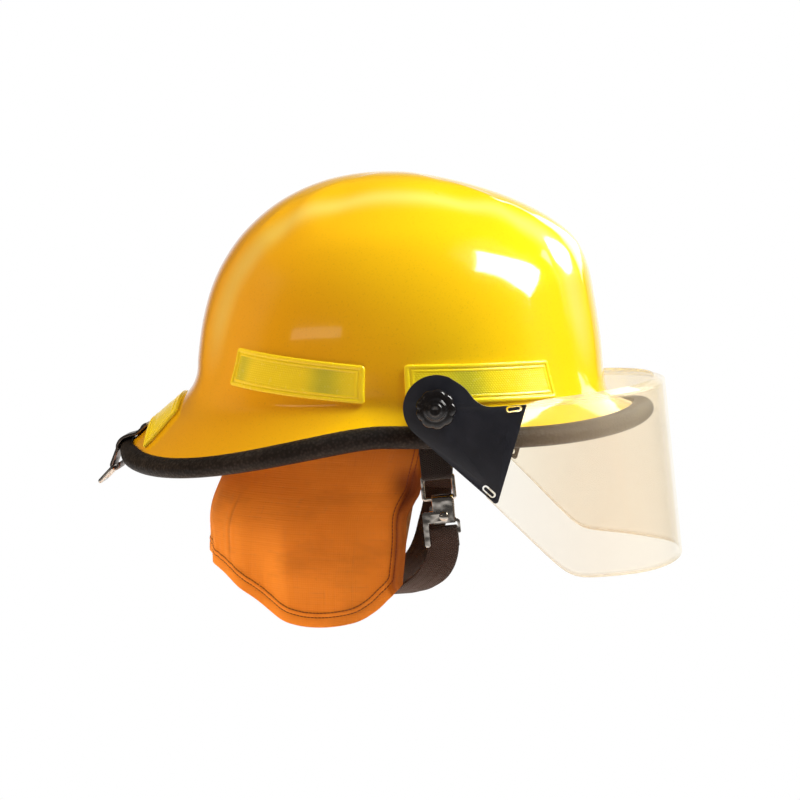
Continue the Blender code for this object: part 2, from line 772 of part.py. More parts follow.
# The headband is an ellipse in front and a circle about the nape axis behind
def head_radius(angle):
    c, s = math.cos(angle), math.sin(angle)
    reach = HEAD_FRONT_REACH if c > 0 else HEAD_HALF_WIDTH
    return 1.0 / math.hypot(c / reach, s / HEAD_HALF_WIDTH)


def head_spot(angle, extra, z):
    radius = head_radius(angle) + extra
    return Vector((HEAD_CENTRE_X + radius * math.cos(angle), radius * math.sin(angle), z))


def band(name, steps, offset, thick, low, height, look):
    angles = [math.radians(HEADBAND_STEP * i) for i in range(-steps, steps + 1)]
    route = [head_spot(angle, offset, low + height / 2) for angle in angles]
    rings = ribbon(route, Vector((0.0, 0.0, 1.0)), height, thick)
    place_part(name, mesh_of_rings(name, rings), look)


def make_headband():
    band("headband", HEADBAND_STEPS, HEADBAND_THICK / 2, HEADBAND_THICK, HEADBAND_LOW, HEADBAND_HEIGHT,
         NYLON)
    low = HEADBAND_LOW + (HEADBAND_HEIGHT - SWEATBAND_HEIGHT) / 2
    inside = -FORM_GAP - SWEATBAND_THICK / 2
    band("sweatband", SWEATBAND_STEPS, inside, SWEATBAND_THICK, low, SWEATBAND_HEIGHT, SWEAT)


def liner_outline(z):
    """Plan of the liner's inner face at a height, on the wearer's left."""
    angles = [2 * math.pi * i / LINER_COLUMNS for i in range(LINER_COLUMNS // 2 + 1)]
    return [inner_spot(angle, z, LINER_INSET).xy for angle in angles]


def reach_to(outline, start, direction):
    """Where a level line from start meets an outline on the wearer's left."""
    start = start.xy
    far = start + direction.xy * CURTAIN_REACH
    for near, last in zip(outline, outline[1:]):
        hit = intersect_line_line_2d(start, far, near, last)
        if hit is not None:
            return (hit - start).length
    return 0.0


def make_clips():
    """Four clips that hang the headband from the liner; returns where and how each takes a crown strap."""
    hold = HEADBAND_THICK + FORM_GAP + CLIP_THICK / 2
    outlines = [liner_outline(CLIP_TOP), liner_outline(CLIP_BEND)]
    under = CLIP_THICK / 2 + FORM_GAP + CROWN_STRAP_THICK / 2
    ends = {}
    for name, degrees in CLIP_ANGLES.items():
        angle = math.radians(abs(degrees))
        spot = head_spot(angle, 0.0, 0.0)
        tangent = (head_spot(angle + 0.01, 0.0, 0.0) - head_spot(angle - 0.01, 0.0, 0.0)).normalized()
        out = Vector((tangent.y, -tangent.x, 0.0))
        corners = [spot + tangent * (CLIP_WIDTH * share) for share in (-0.5, 0.0, 0.5)]
        high, bend = [min(reach_to(outline, corner, out) for corner in corners) - CLIP_GAP - CLIP_THICK / 2
                      for outline in outlines]
        points = [(high, CLIP_TOP), (bend, CLIP_BEND), (hold, CURTAIN_TOP + CLIP_GAP), (hold, CLIP_FOOT)]
        lap = [(bend + (high - bend) * share, CLIP_BEND + (CLIP_TOP - CLIP_BEND) * share)
               for share in CLIP_LAP]
        side = Vector((1.0, math.copysign(1.0, degrees), 1.0))
        route = [(spot + out * reach + Vector((0.0, 0.0, z))) * side for reach, z in points]
        strap = [(spot + out * (reach - under) + Vector((0.0, 0.0, z))) * side for reach, z in lap]
        ends[name] = (strap, tangent * side)
        node = "suspension_clip_" + name
        rings = ribbon(route, tangent * side, CLIP_WIDTH, CLIP_THICK)
        place_part(node, mesh_of_rings(node, rings), NYLON)
    return ends


def make_crown_straps(ends):
    pairs = [("crown_strap_lower", "front_left", "rear_right", 0.0),
             ("crown_strap_upper", "front_right", "rear_left", CROWN_STRAP_STACK)]
    for node, first, last, lift in pairs:
        (start, start_side), (finish, finish_side) = ends[first], ends[last]
        top = (start[1] + finish[1]) / 2
        top.z = CROWN_STRAP_TOP + lift
        shoulders = []
        for end in (start[1], finish[1]):
            shoulder = end.lerp(top, CROWN_STRAP_SHOULDER)
            shoulder.z += CROWN_STRAP_BOW
            shoulders.append(shoulder)
        arch = smooth_route([start[1], shoulders[0], top, shoulders[1], finish[1]], CROWN_STRAP_COUNT)
        route = [start[0]] + arch + [finish[0]]
        if start_side.dot(finish_side) < 0:
            finish_side = -finish_side
        across = [start_side.lerp(finish_side, smooth_step(1, CROWN_STRAP_COUNT, i))
                  for i in range(len(route))]
        rings = ribbon(route, across, CROWN_STRAP_WIDTH, CROWN_STRAP_THICK)
        place_part(node, mesh_of_rings(node, rings), WEBBING)


# Ratchet: two racks on a circle about the nape axis, drawn past each other by one pinion
RACK_IN = HEAD_HALF_WIDTH + HEADBAND_THICK + FIT_GAP
RACK_MID = RACK_IN + RACK_THICK / 2
TOOTH_PITCH = 2 * math.pi * PINION_RADIUS / PINION_TEETH


def nape_spot(radius, degrees, z):
    """A point about the nape axis; degrees turn from straight back towards the wearer's left."""
    angle = math.radians(degrees)
    return Vector((HEAD_CENTRE_X - radius * math.cos(angle), radius * math.sin(angle), z))


def tooth_edges():
    """Offsets along one pitch, from the middle of a gap, of a tooth's root, tip, tip and root corners."""
    half = TOOTH_SHARE * TOOTH_PITCH / 2
    tip = half - TOOTH_UP * TOOTH_SLOPE
    root = half + TOOTH_DOWN * TOOTH_SLOPE
    middle = TOOTH_PITCH / 2
    return [(middle - root, False), (middle - tip, True), (middle + tip, True), (middle + root, False)]


def make_rack(name, side):
    up = 1.0 if side > 0 else -1.0
    degrees_per_mm = math.degrees(1.0 / RACK_MID)
    tip = RATCHET_Z + up * (PINION_RADIUS - TOOTH_UP)
    root = RATCHET_Z + up * (PINION_RADIUS + TOOTH_DOWN)
    back = root + up * RACK_BACK
    first, last = -RACK_NOSE, RACK_TAIL
    stations = [(first, root)]
    teeth = range(math.ceil(first / degrees_per_mm / TOOTH_PITCH), 5)
    for tooth in teeth:
        for along, high in tooth_edges():
            stations.append(((tooth * TOOTH_PITCH + along) * degrees_per_mm, tip if high else root))
    reached = stations[-1][0]
    steps = math.ceil((last - reached) / RACK_LAP_STEP)
    stations += [(reached + (last - reached) * i / steps, root) for i in range(1, steps + 1)]
    rings = []
    for degrees, edge in stations:
        turn = degrees * side
        rings.append([nape_spot(RACK_IN, turn, edge), nape_spot(RACK_IN + RACK_THICK, turn, edge),
                      nape_spot(RACK_IN + RACK_THICK, turn, back), nape_spot(RACK_IN, turn, back)])
    axis = (HEAD_CENTRE_X, 0.0, RATCHET_Z)
    place_part(name, mesh_of_rings(name, rings), NYLON, axis)


def make_ratchet():
    make_rack("ratchet_rack_left", 1.0)
    make_rack("ratchet_rack_right", -1.0)
    reach = PINION_RADIUS + TOOTH_DOWN + RACK_BACK + FORM_GAP
    turns = [COVER_HALF_ANGLE * (i / 6 - 1) for i in range(13)]
    inner_out = RACK_IN - FIT_GAP
    outer_in = RACK_IN + RACK_THICK + FORM_GAP
    outer_out = outer_in + COVER_WALL
    high, low = RATCHET_Z + reach, RATCHET_Z - reach
    plain, channel = [], []
    for turn in turns:
        spots = [(inner_out - COVER_WALL, low - COVER_WALL), (inner_out, low - COVER_WALL),
                 (inner_out, high + COVER_WALL), (inner_out - COVER_WALL, high + COVER_WALL)]
        plain.append([nape_spot(radius, turn, z) for radius, z in spots])
        lip = inner_out + FIT_GAP
        spots = [(lip, low - COVER_WALL), (outer_out, low - COVER_WALL), (outer_out, high + COVER_WALL),
                 (lip, high + COVER_WALL), (lip, high), (outer_in, high), (outer_in, low), (lip, low)]
        channel.append([nape_spot(radius, turn, z) for radius, z in spots])
    place_part("ratchet_inner_cover", mesh_of_rings("ratchet_inner_cover", plain), NYLON)
    cover = place_part("ratchet_outer_cover", mesh_of_rings("ratchet_outer_cover", channel), NYLON)
    face = HEAD_CENTRE_X - outer_out
    shaft_hole = cylinder_cutter("shaft_hole", (face, 0.0, RATCHET_Z), (1.0, 0.0, 0.0),
                                 RATCHET_SHAFT_RADIUS + FIT_GAP, 4 * COVER_WALL)
    combine(cover, shaft_hole, "DIFFERENCE")
    outline = []
    tip_radius = PINION_RADIUS + TOOTH_UP
    root_radius = PINION_RADIUS - TOOTH_DOWN
    for tooth in range(PINION_TEETH):
        for along, high_corner in tooth_edges():
            angle = 2 * math.pi * (tooth + along / TOOTH_PITCH - 0.5) / PINION_TEETH + math.pi / 2
            radius = tip_radius if high_corner else root_radius
            outline.append((radius * math.cos(angle), radius * math.sin(angle)))
    middle = Vector((HEAD_CENTRE_X - RACK_MID, 0.0, RATCHET_Z)) * MM
    to_nape = Matrix.Rotation(math.radians(90.0), 4, "Z") @ Matrix.Rotation(math.radians(90.0), 4, "X")
    plate("ratchet_pinion", [outline], RACK_THICK, Matrix.Translation(middle) @ to_nape, NYLON)
    start = RACK_THICK / 2 + FIT_GAP
    base = outer_out - RACK_MID + FIT_GAP
    top = base + RATCHET_KNOB_DEPTH
    rings = [(start, RATCHET_SHAFT_RADIUS, 0.0), (base, RATCHET_SHAFT_RADIUS, 0.0),
             (base, RATCHET_KNOB_RADIUS - 1.5, 0.5), (base + 1.5, RATCHET_KNOB_RADIUS - 0.6, 0.6),
             (top - 1.5, RATCHET_KNOB_RADIUS - 1.2, 0.6), (top, RATCHET_KNOB_RADIUS - 2.8, 0.4)]
    lobed("ratchet_knob", rings, RATCHET_KNOB_LOBES, middle / MM, (-1.0, 0.0, 0.0), GLOSS,
          2 * RATCHET_KNOB_LOBES)


# Neck and ear curtain: hung from the liner's inner face, flared behind and lobed over the ears
def curtain_spot(share, drop):
    """Outer face: share runs from one front edge (-1) by the back to the other (1), drop from top to hem."""
    from_front = 1.0 - abs(share)
    hem = value_at(CURTAIN_HEMLINE, from_front)
    z = CURTAIN_TOP + (hem - CURTAIN_TOP) * drop
    ahead = (value_at(CURTAIN_FRONT_EDGE, z) - (CURTAIN_LEFT_TUCK if share < 0 else 0.0)) / CURTAIN_REACH
    start = math.acos(math.copysign(abs(ahead) ** (FULLNESS_ROOT / 2), ahead))
    phi = start + (math.pi - start) * from_front
    held = inner_spot(phi, max(z, CURTAIN_BEND), LINER_INSET + CURTAIN_GAP)
    fall = max(CURTAIN_BEND - z, 0.0) / CURTAIN_DROP
    flare = CURTAIN_SIDE_FLARE + (CURTAIN_REAR_FLARE - CURTAIN_SIDE_FLARE) * math.cos(phi) ** 2
    fold = CURTAIN_FOLD * math.sin(CURTAIN_FOLDS * (phi - math.pi)) * smooth_step(0.35, 1.0, fall)
    outward = Vector((held.x / CURTAIN_REACH ** 2, held.y / CURTAIN_HALF_WIDTH ** 2, 0.0)).normalized()
    point = held + outward * (flare * smooth_step(*CURTAIN_FLARE_FALL, fall) - abs(fold) + fold * 0.5)
    side = math.copysign(1.0, share) if share else 1.0
    return Vector((point.x, point.y * -side, z)), Vector((outward.x, outward.y * -side, 0.0))


def make_curtain():
    hem_share = 0.05
    drops = [i / (CURTAIN_ROWS - 1) * (1.0 - hem_share) for i in range(CURTAIN_ROWS)] + [1.0]
    rings = []
    for i in range(CURTAIN_COLUMNS + 1):
        share = 2 * i / CURTAIN_COLUMNS - 1
        share = math.copysign(1.0 - (1.0 - abs(share)) ** CURTAIN_CROWDING, share)
        outer, inner = [], []
        at_edge = i in (0, CURTAIN_COLUMNS)
        for j, drop in enumerate(drops):
            point, outward = curtain_spot(share, drop)
            thick = CURTAIN_THICK + (CURTAIN_HEM if at_edge or j >= CURTAIN_ROWS - 1 else 0.0)
            outer.append(point)
            inner.append(point - outward * thick)
        rings.append(outer + inner[::-1])
    place_part("neck_curtain", mesh_of_rings("neck_curtain", rings), CLOTH)


# Face shield: brackets, lens and the pivot stack through the shell wall
def bracket_outline():
    """The bracket seen from the wearer's right, measured from the pivot."""
    heel = Vector(BRACKET_HEEL)
    lean = math.degrees(math.atan2(-heel.y, -heel.x))
    swing = math.degrees(math.asin(BRACKET_ROUND / heel.length))
    touch = lean + swing + 90.0
    round_end = arc((0.0, 0.0), BRACKET_ROUND, 68.0, touch, 12)
    tip = Vector(BRACKET_TIP)
    crest = [Vector(round_end[0]), Vector((17.5, 13.0)), Vector((24.5, 5.0)), Vector(BRACKET_NECK),
             Vector((42.0, 1.8)), tip]
    neck = [tuple(smooth_at(crest, 1.0 - i / 12)) for i in range(12)]
    heel_turn = [tuple(heel + Vector((-2.6, 1.4))), tuple(heel + Vector((-0.6, 0.0))),
                 tuple(heel + Vector((1.2, 0.9)))]
    return neck + round_end + heel_turn


def make_brackets(axis):
    for side, sign in CHEEKS.items():
        name = "shield_bracket_" + side
        holes = [arc((0.0, 0.0), BOLT_RADIUS + FIT_GAP, 340.0, 0.0, 18)]
        for x, z, turn in (SLOT_UPPER, SLOT_LOWER):
            holes.append(slot_outline((x, z), SLOT_LENGTH, SLOT_WIDTH, turn))
        middle = Vector((PIVOT_X, sign * (BRACKET_Y + BRACKET_THICK / 2), PIVOT_Z)) * MM
        matrix = Matrix.Translation(middle) @ Matrix.Rotation(math.radians(90.0), 4, "X")
        item = plate(name, [bracket_outline()] + holes, BRACKET_THICK, matrix, BLACK, BRACKET_EDGE)
        item.parent = axis
        item.matrix_parent_inverse = Matrix.Translation(-axis.location)


def lens_spot(share, drop):
    """Outer face: share runs from the right rear edge (-1) to the left (1), drop from top to bottom."""
    from_nose = abs(share)
    rear_x = LENS_REAR_TOP[0] + (LENS_REAR_LOW[0] - LENS_REAR_TOP[0]) * drop
    half_width = BRACKET_Y - FIT_GAP
    nose = LENS_TOP_X + (LENS_LOW_X - LENS_TOP_X) * drop
    span = nose - LENS_SPRING_X
    rear_angle = math.acos(((rear_x - LENS_SPRING_X) / span) ** (LENS_FULLNESS / 2))
    angle = rear_angle * from_nose
    x = LENS_SPRING_X + span * math.cos(angle) ** (2 / LENS_FULLNESS)
    y = half_width * math.sin(angle) ** (2 / LENS_FULLNESS)
    top = LENS_TOP_Z + (LENS_REAR_TOP[1] - LENS_TOP_Z) * from_nose ** 2
    floor = LENS_LOW_Z - LENS_SIDE_DIP * smooth_step(0.0, 0.5, from_nose)
    reach = (x - LENS_REAR_LOW[0]) / (LENS_CORNER_X - LENS_REAR_LOW[0])
    diagonal = LENS_REAR_LOW[1] + (floor - LENS_REAR_LOW[1]) * reach
    low = floor + LENS_CORNER_BLEND * math.log1p(math.exp((diagonal - floor) / LENS_CORNER_BLEND))
    return Vector((x, math.copysign(y, share), top + (low - top) * drop))


def lens_inward(share, drop):
    step = 0.004
    inner_share = max(min(share, 1.0 - step), -1.0 + step)
    along = lens_spot(inner_share + step, drop) - lens_spot(inner_share - step, drop)
    level = Vector((along.x, along.y, 0.0)).normalized()
    return Vector((-level.y, level.x, 0.0))


def make_lens(axis):
    shares = [math.sin(math.pi / 2 * (i / LENS_COLUMNS)) for i in range(LENS_COLUMNS + 1)]
    shares = [-share for share in shares[::-1]] + shares[1:]
    rings = []
    for share in shares:
        outer = [lens_spot(share, i / LENS_ROWS) for i in range(LENS_ROWS + 1)]
        inward = lens_inward(share, 0.0)
        inner = [point + lens_inward(share, i / LENS_ROWS) * LENS_THICK for i, point in enumerate(outer)]
        lip = LENS_LIP * smooth_step(0.0, LENS_LIP_START, 1.0 - abs(share)) + 0.4
        rise = LENS_LIP_RISE * lip / LENS_LIP
        end = outer[0] + inward * (LENS_THICK + lip) + Vector((0.0, 0.0, rise))
        under = Vector((0.0, 0.0, -LENS_THICK))
        rings.append(outer[::-1] + [end, end + under, inner[0] + under] + inner[1:])
    lens = place_part("face_shield", mesh_of_rings("face_shield", rings), CLEAR,
                      tuple(axis.location / MM), axis)
    for side, sign in CHEEKS.items():
        for x, z, turn in (SLOT_UPPER, SLOT_LOWER):
            outline = slot_outline((x, z), SLOT_LENGTH - 2 * FORM_GAP, SLOT_WIDTH - 2 * FORM_GAP, turn)
            inside = BRACKET_Y - 2 * LENS_THICK + FORM_GAP
            outside = BRACKET_Y + BRACKET_THICK + TAB_PROUD
            rings = [[Vector((PIVOT_X + p, sign * y, PIVOT_Z + q)) for p, q in outline]
                     for y in (inside, outside)]
            tab = place_part("shield_tab", mesh_of_rings("shield_tab", rings), CLEAR, group=CUTTERS)
            tab.hide_render = True
            tab.display_type = "WIRE"
            combine(lens, tab, "UNION")


def fitted_collar(name, radius, seat, face, sign, look):
    """A collar round the pivot bolt: one end follows the shell wall, the other is flat."""
    rings = []
    for i in range(18):
        angle = 2 * math.pi * i / 18
        spots = []
        for reach in (BOLT_RADIUS + FIT_GAP, radius):
            x = PIVOT_X + reach * math.cos(angle)
            z = PIVOT_Z + reach * math.sin(angle)
            spots.append((x, seat(x, z), z))
        (x0, y0, z0), (x1, y1, z1) = spots
        rings.append([Vector((x0, sign * y0, z0)), Vector((x1, sign * y1, z1)),
                      Vector((x1, sign * face, z1)), Vector((x0, sign * face, z0))])
    place_part(name, mesh_of_rings(name, rings, closed_path=True), look, (PIVOT_X, sign * face, PIVOT_Z))


def make_pivots():
    spacer_face = BRACKET_Y - 2 * FIT_GAP - WASHER_THICK
    strap_out = STRAP_Y + STRAP_THICK / 2
    strap_in = STRAP_Y - STRAP_THICK / 2
    knob_seat = BRACKET_Y + BRACKET_THICK + WASHER_THICK + 2 * FIT_GAP

    def outer_wall(x, z):
        return wall_y(x, z) + FORM_GAP

    def inner_wall(x, z):
        return wall_y(x, z, SHELL_WALL) - FORM_GAP

    for side, sign in CHEEKS.items():
        outward = (0.0, sign, 0.0)
        fitted_collar("pivot_spacer_" + side, SPACER_RADIUS, outer_wall, spacer_face, sign, BLACK)
        fitted_collar("backing_pad_" + side, BOLT_HEAD_RADIUS, inner_wall, strap_out + FIT_GAP, sign,
                      RUBBER)
        bore = BOLT_RADIUS + FIT_GAP
        ring = [(bore, WASHER_THICK), (WASHER_RADIUS, WASHER_THICK), (WASHER_RADIUS, 0.0), (bore, 0.0)]
        seats = {"friction_washer_": spacer_face + FIT_GAP,
                 "knob_washer_": knob_seat - FIT_GAP - WASHER_THICK}
        for name, place in seats.items():
            turned(name + side, ring, (PIVOT_X, sign * place, PIVOT_Z), outward, RUBBER, ring=True)
        head = strap_in - FIT_GAP - BOLT_HEAD_THICK
        neck = BOLT_HEAD_THICK
        end = knob_seat + KNOB_BORE_DEPTH - FIT_GAP - head
        profile = [(0.0, end), (BOLT_RADIUS, end), (BOLT_RADIUS, neck), (BOLT_HEAD_RADIUS, neck),
                   (BOLT_HEAD_RADIUS, 0.8), (BOLT_HEAD_RADIUS - 0.8, 0.0), (0.0, 0.0)]
        turned("pivot_bolt_" + side, profile, (PIVOT_X, sign * head, PIVOT_Z), outward, STEEL)
        top = KNOB_HEIGHT
        boss = top + KNOB_BOSS_HEIGHT
        hub = boss + KNOB_HUB_HEIGHT
        rings = [(KNOB_BORE_DEPTH, bore, 0.0), (0.0, bore, 0.0), (0.0, KNOB_RADIUS - 0.6, KNOB_SCALLOP),
                 (1.0, KNOB_RADIUS, KNOB_SCALLOP), (top - 1.6, KNOB_RADIUS - 0.3, KNOB_SCALLOP),
                 (top - 0.3, KNOB_RADIUS - 1.6, KNOB_SCALLOP * 0.8), (top, KNOB_BOSS_RADIUS + 0.8, 0.0),
                 (boss, KNOB_BOSS_RADIUS - 0.4, 0.0), (boss, KNOB_HUB_RADIUS, 0.0),
                 (hub, KNOB_HUB_RADIUS - 0.6, 0.0)]
        lobed("pivot_knob_" + side, rings, KNOB_LOBES, (PIVOT_X, sign * knob_seat, PIVOT_Z), outward, GLOSS,
              4 * KNOB_LOBES)


# Chin strap: hardware hangs in a tilted frame with axes along its width, outward and down
class CheekFrame:
    def __init__(self, side):
        lean = math.radians(RING_TILT[side])
        sign = CHEEKS[side]
        self.sign = sign
        self.wide = Vector((math.cos(lean), 0.0, math.sin(lean)))
        self.down = Vector((math.sin(lean), 0.0, -math.cos(lean)))
        self.out = Vector((0.0, sign, 0.0))
        loop = RING_WIRE + FIT_GAP + STRAP_THICK / 2
        self.origin = Vector((RING_X[side], sign * (STRAP_Y - loop), RING_Z))

    def at(self, wide, out, down):
        return self.origin + self.wide * wide + self.out * out + self.down * down

    def matrix(self, out):
        """Plate placement: plate X along the width, plate Y upward, at a distance outward."""
        columns = [self.wide, -self.down, self.wide.cross(-self.down)]
        turn = Matrix([[column[i] for column in columns] for i in range(3)]).to_4x4()
        return Matrix.Translation(self.at(0.0, out, 0.0) * MM) @ turn


def make_upper_strap(side, frame):
    loop = RING_WIRE + FIT_GAP + STRAP_THICK / 2
    bolt = Vector((PIVOT_X, frame.sign * STRAP_Y, PIVOT_Z))
    lap_top = frame.at(0.0, loop, -STRAP_LAP)
    run = (lap_top - bolt).normalized()
    upper = [bolt - run * STRAP_ABOVE_BOLT, bolt, bolt + run * BOLT_HEAD_RADIUS]
    under = [frame.at(0.0, out, down) for out, down in arc((0.0, 0.0), loop, 0.0, 180.0, 7)]
    tail = [frame.at(0.0, -loop, -STRAP_LAP / 2), frame.at(0.0, -loop, -STRAP_LAP)]
    route = upper + [lap_top] + under + tail
    across = [Vector((-run.z, 0.0, run.x))] * len(upper) + [frame.wide] * (len(route) - len(upper))
    name = "upper_strap_" + side
    strap = place_part(name, mesh_of_rings(name, ribbon(route, across, STRAP_WIDTH, STRAP_THICK)), WEBBING)
    combine(strap, PIVOT_HOLE, "DIFFERENCE")
    corners = [(-RING_HALF_WIDTH, 0.0), (RING_HALF_WIDTH, 0.0), (RING_HALF_WIDTH, RING_HEIGHT),
               (-RING_HALF_WIDTH, RING_HEIGHT)]
    loop_points = [frame.at(wide, 0.0, down) for wide, down in rounded_loop(corners, RING_CORNER)]
    wire("strap_ring_" + side, loop_points, RING_WIRE, STEEL, frame.origin)


def make_snap(frame):
    reach = RING_WIRE + FIT_GAP + HOOK_THICK / 2
    over = arc((0.0, RING_HEIGHT), reach, 0.0, -180.0, 7)
    path = [(reach, HOOK_END), (reach, (HOOK_END + RING_HEIGHT) / 2)] + over
    path += [(-reach, RING_HEIGHT + HOOK_LIP)]
    route = [frame.at(HOOK_ACROSS, out, down) for out, down in path]
    rings = ribbon(route, frame.wide, HOOK_WIDTH, HOOK_THICK)
    hook = place_part("snap_hook", mesh_of_rings("snap_hook", rings), STEEL)
    frame_out = reach - HOOK_THICK / 2 - FIT_GAP - FRAME_THICK / 2
    lever_out = reach + HOOK_THICK / 2 + FIT_GAP + LEVER_THICK / 2
    body = [(-FRAME_NECK_HALF, -FRAME_SHOULDER), (-FRAME_HALF_WIDTH, -FRAME_SHOULDER - 2.0),
            (-FRAME_HALF_WIDTH, -FRAME_END), (FRAME_HALF_WIDTH, -FRAME_END),
            (FRAME_HALF_WIDTH, -FRAME_SHOULDER - 2.0), (FRAME_NECK_HALF + 2.0, -FRAME_SHOULDER),
            (FRAME_NECK_HALF + 2.0, -FRAME_TOP), (-FRAME_NECK_HALF, -FRAME_TOP)]
    window = [(-WINDOW_HALF_WIDTH, -WINDOW_END), (WINDOW_HALF_WIDTH, -WINDOW_END),
              (WINDOW_HALF_WIDTH, -WINDOW_TOP), (-WINDOW_HALF_WIDTH, -WINDOW_TOP)]
    hole = arc((HOOK_ACROSS, -SNAP_RIVET_DOWN), RIVET_RADIUS + FIT_GAP, 340.0, 0.0, 18)
    loops = [rounded_loop(body, 1.0, 3), rounded_loop(window, 0.6, 3)[::-1], hole]
    plate("strap_frame", loops, FRAME_THICK, frame.matrix(frame_out), STEEL)
    hub = arc((0.0, 0.0), LEVER_HUB, -100.0, 80.0, 9)
    tongue_left = -HOOK_ACROSS - LEVER_ARM
    tongue_end = SNAP_RIVET_DOWN - LEVER_END
    outline = hub + [(tongue_left + 1.5, LEVER_HUB), (tongue_left, 1.0), (tongue_left, tongue_end + 1.0),
                     (tongue_left + 0.6, tongue_end - 0.8), (tongue_left + LEVER_WIDTH, tongue_end),
                     (tongue_left + LEVER_WIDTH, -LEVER_HUB - 1.0),
                     (tongue_left + LEVER_WIDTH + 1.0, -LEVER_HUB)]
    eye = arc((0.0, 0.0), RIVET_RADIUS + FIT_GAP, 340.0, 0.0, 18)
    spin = frame.at(HOOK_ACROSS, lever_out, SNAP_RIVET_DOWN)
    matrix = frame.matrix(lever_out)
    matrix.translation = spin * MM
    plate("snap_lever", [outline, eye], LEVER_THICK, matrix, STEEL)
    back = frame_out - FRAME_THICK / 2 - FIT_GAP - RIVET_HEAD_THICK
    front = lever_out + LEVER_THICK / 2 + FIT_GAP - back
    top = front + RIVET_HEAD_THICK
    profile = [(0.0, top), (RIVET_HEAD * 0.6, top - 0.25), (RIVET_HEAD, front + 0.3), (RIVET_HEAD, front),
               (RIVET_RADIUS, front), (RIVET_RADIUS, RIVET_HEAD_THICK), (RIVET_HEAD, RIVET_HEAD_THICK),
               (RIVET_HEAD, 0.3), (RIVET_HEAD - 0.3, 0.0), (0.0, 0.0)]
    turned("snap_rivet", profile, frame.at(HOOK_ACROSS, back, SNAP_RIVET_DOWN), frame.out, STEEL)
    place = frame.at(HOOK_ACROSS, reach, SNAP_RIVET_DOWN)
    rivet_hole = cylinder_cutter("snap_rivet_hole", place, frame.out, RIVET_RADIUS + FIT_GAP,
                                 4 * HOOK_THICK, 18)
    combine(hook, rivet_hole, "DIFFERENCE")
    return frame_out


def make_chin_strap(right, left, frame_out):
    fold = FRAME_THICK / 2 + FIT_GAP + STRAP_THICK / 2
    crest = WINDOW_END + FIT_GAP
    over = arc((frame_out, crest), fold, 180.0, 360.0, 7)
    start = [right.at(0.0, frame_out - fold, CHIN_TAIL),
             right.at(0.0, frame_out - fold, (CHIN_TAIL + crest) / 2)]
    start += [right.at(0.0, out, down) for out, down in over]
    loop = RING_WIRE + FIT_GAP + STRAP_THICK / 2
    under = arc((0.0, RING_HEIGHT), loop, 360.0, 180.0, 7)
    finish = [left.at(0.0, loop, RING_HEIGHT + STRAP_LAP)]
    finish += [left.at(0.0, out, down) for out, down in under]
    finish += [left.at(0.0, -loop, RING_HEIGHT + STRAP_LAP / 2),
               left.at(0.0, -loop, RING_HEIGHT + STRAP_LAP)]
    free = smooth_route([right.at(0.0, frame_out + fold, CHIN_STRAIGHT)] + CHIN_ROUTE + [finish[0]], 33)
    route = start + free[:-1] + finish
    first, last = len(start), len(route) - len(finish)
    across = [right.wide.lerp(left.wide, smooth_step(first, last, i)) for i in range(len(route))]
    rings = ribbon(route, across, STRAP_WIDTH, STRAP_THICK)
    place_part("chin_strap", mesh_of_rings("chin_strap", rings), WEBBING)


# Rear hanger: a plate riveted to the brim, curled round the bar of a wire ring
def make_hanger():
    middle, outward, normal = trim_frame(math.pi)
    along = Vector((0.0, 1.0, 0.0))
    lift = FIT_GAP + HANGER_THICK / 2
    edge_place = BRIM_EDGE - 0.62
    route = [dome_off(math.pi, HANGER_START + (edge_place - HANGER_START) * i / 3, lift) for i in range(4)]
    for degrees in (118.0, 96.0, 74.0, 52.0, 30.0):
        angle = math.radians(degrees)
        spot = middle + outward * ((TRIM_LENGTH / 2 + lift) * math.cos(angle))
        route.append(spot + normal * ((TRIM_THICK / 2 + lift) * math.sin(angle)))
    knuckle = middle + Vector((HANGER_KNUCKLE[0], 0.0, HANGER_KNUCKLE[1]))
    curl = HANGER_WIRE + FIT_GAP + HANGER_THICK / 2
    for x, z in arc((knuckle.x, knuckle.z), curl, 165.0, 400.0, 10):
        route.append(Vector((x, 0.0, z)))
    hanger = place_part("hanger_plate", mesh_of_rings("hanger_plate", ribbon(route, along, HANGER_WIDTH,
                                                                           HANGER_THICK)), STEEL)
    combine(hanger, RIVET_HOLE, "DIFFERENCE")
    lean = math.radians(HANGER_RING_ANGLE)
    reach = Vector((math.cos(lean), 0.0, math.sin(lean)))
    corners = [(-HANGER_RING_HALF, 0.0), (HANGER_RING_HALF, 0.0), (HANGER_RING_HALF, HANGER_RING_REACH),
               (-HANGER_RING_HALF, HANGER_RING_REACH)]
    loop = [knuckle + along * y + reach * far for y, far in rounded_loop(corners, HANGER_RING_CORNER / 2)]
    wire("hanger_ring", loop, HANGER_WIRE, STEEL, knuckle)
    inside = SHELL_WALL + FORM_GAP + RIVET_HEAD_THICK
    neck = RIVET_HEAD_THICK
    high = inside + FIT_GAP + HANGER_THICK + FIT_GAP
    profile = [(0.0, high + 1.5), (2.4, high + 1.0), (3.8, high), (RIVET_RADIUS, high),
               (RIVET_RADIUS, neck), (RIVET_HEAD, neck), (RIVET_HEAD, 0.0), (0.0, 0.0)]
    turned("hanger_rivet", profile, HANGER_PLACE - HANGER_NORMAL * inside, HANGER_NORMAL, STEEL)


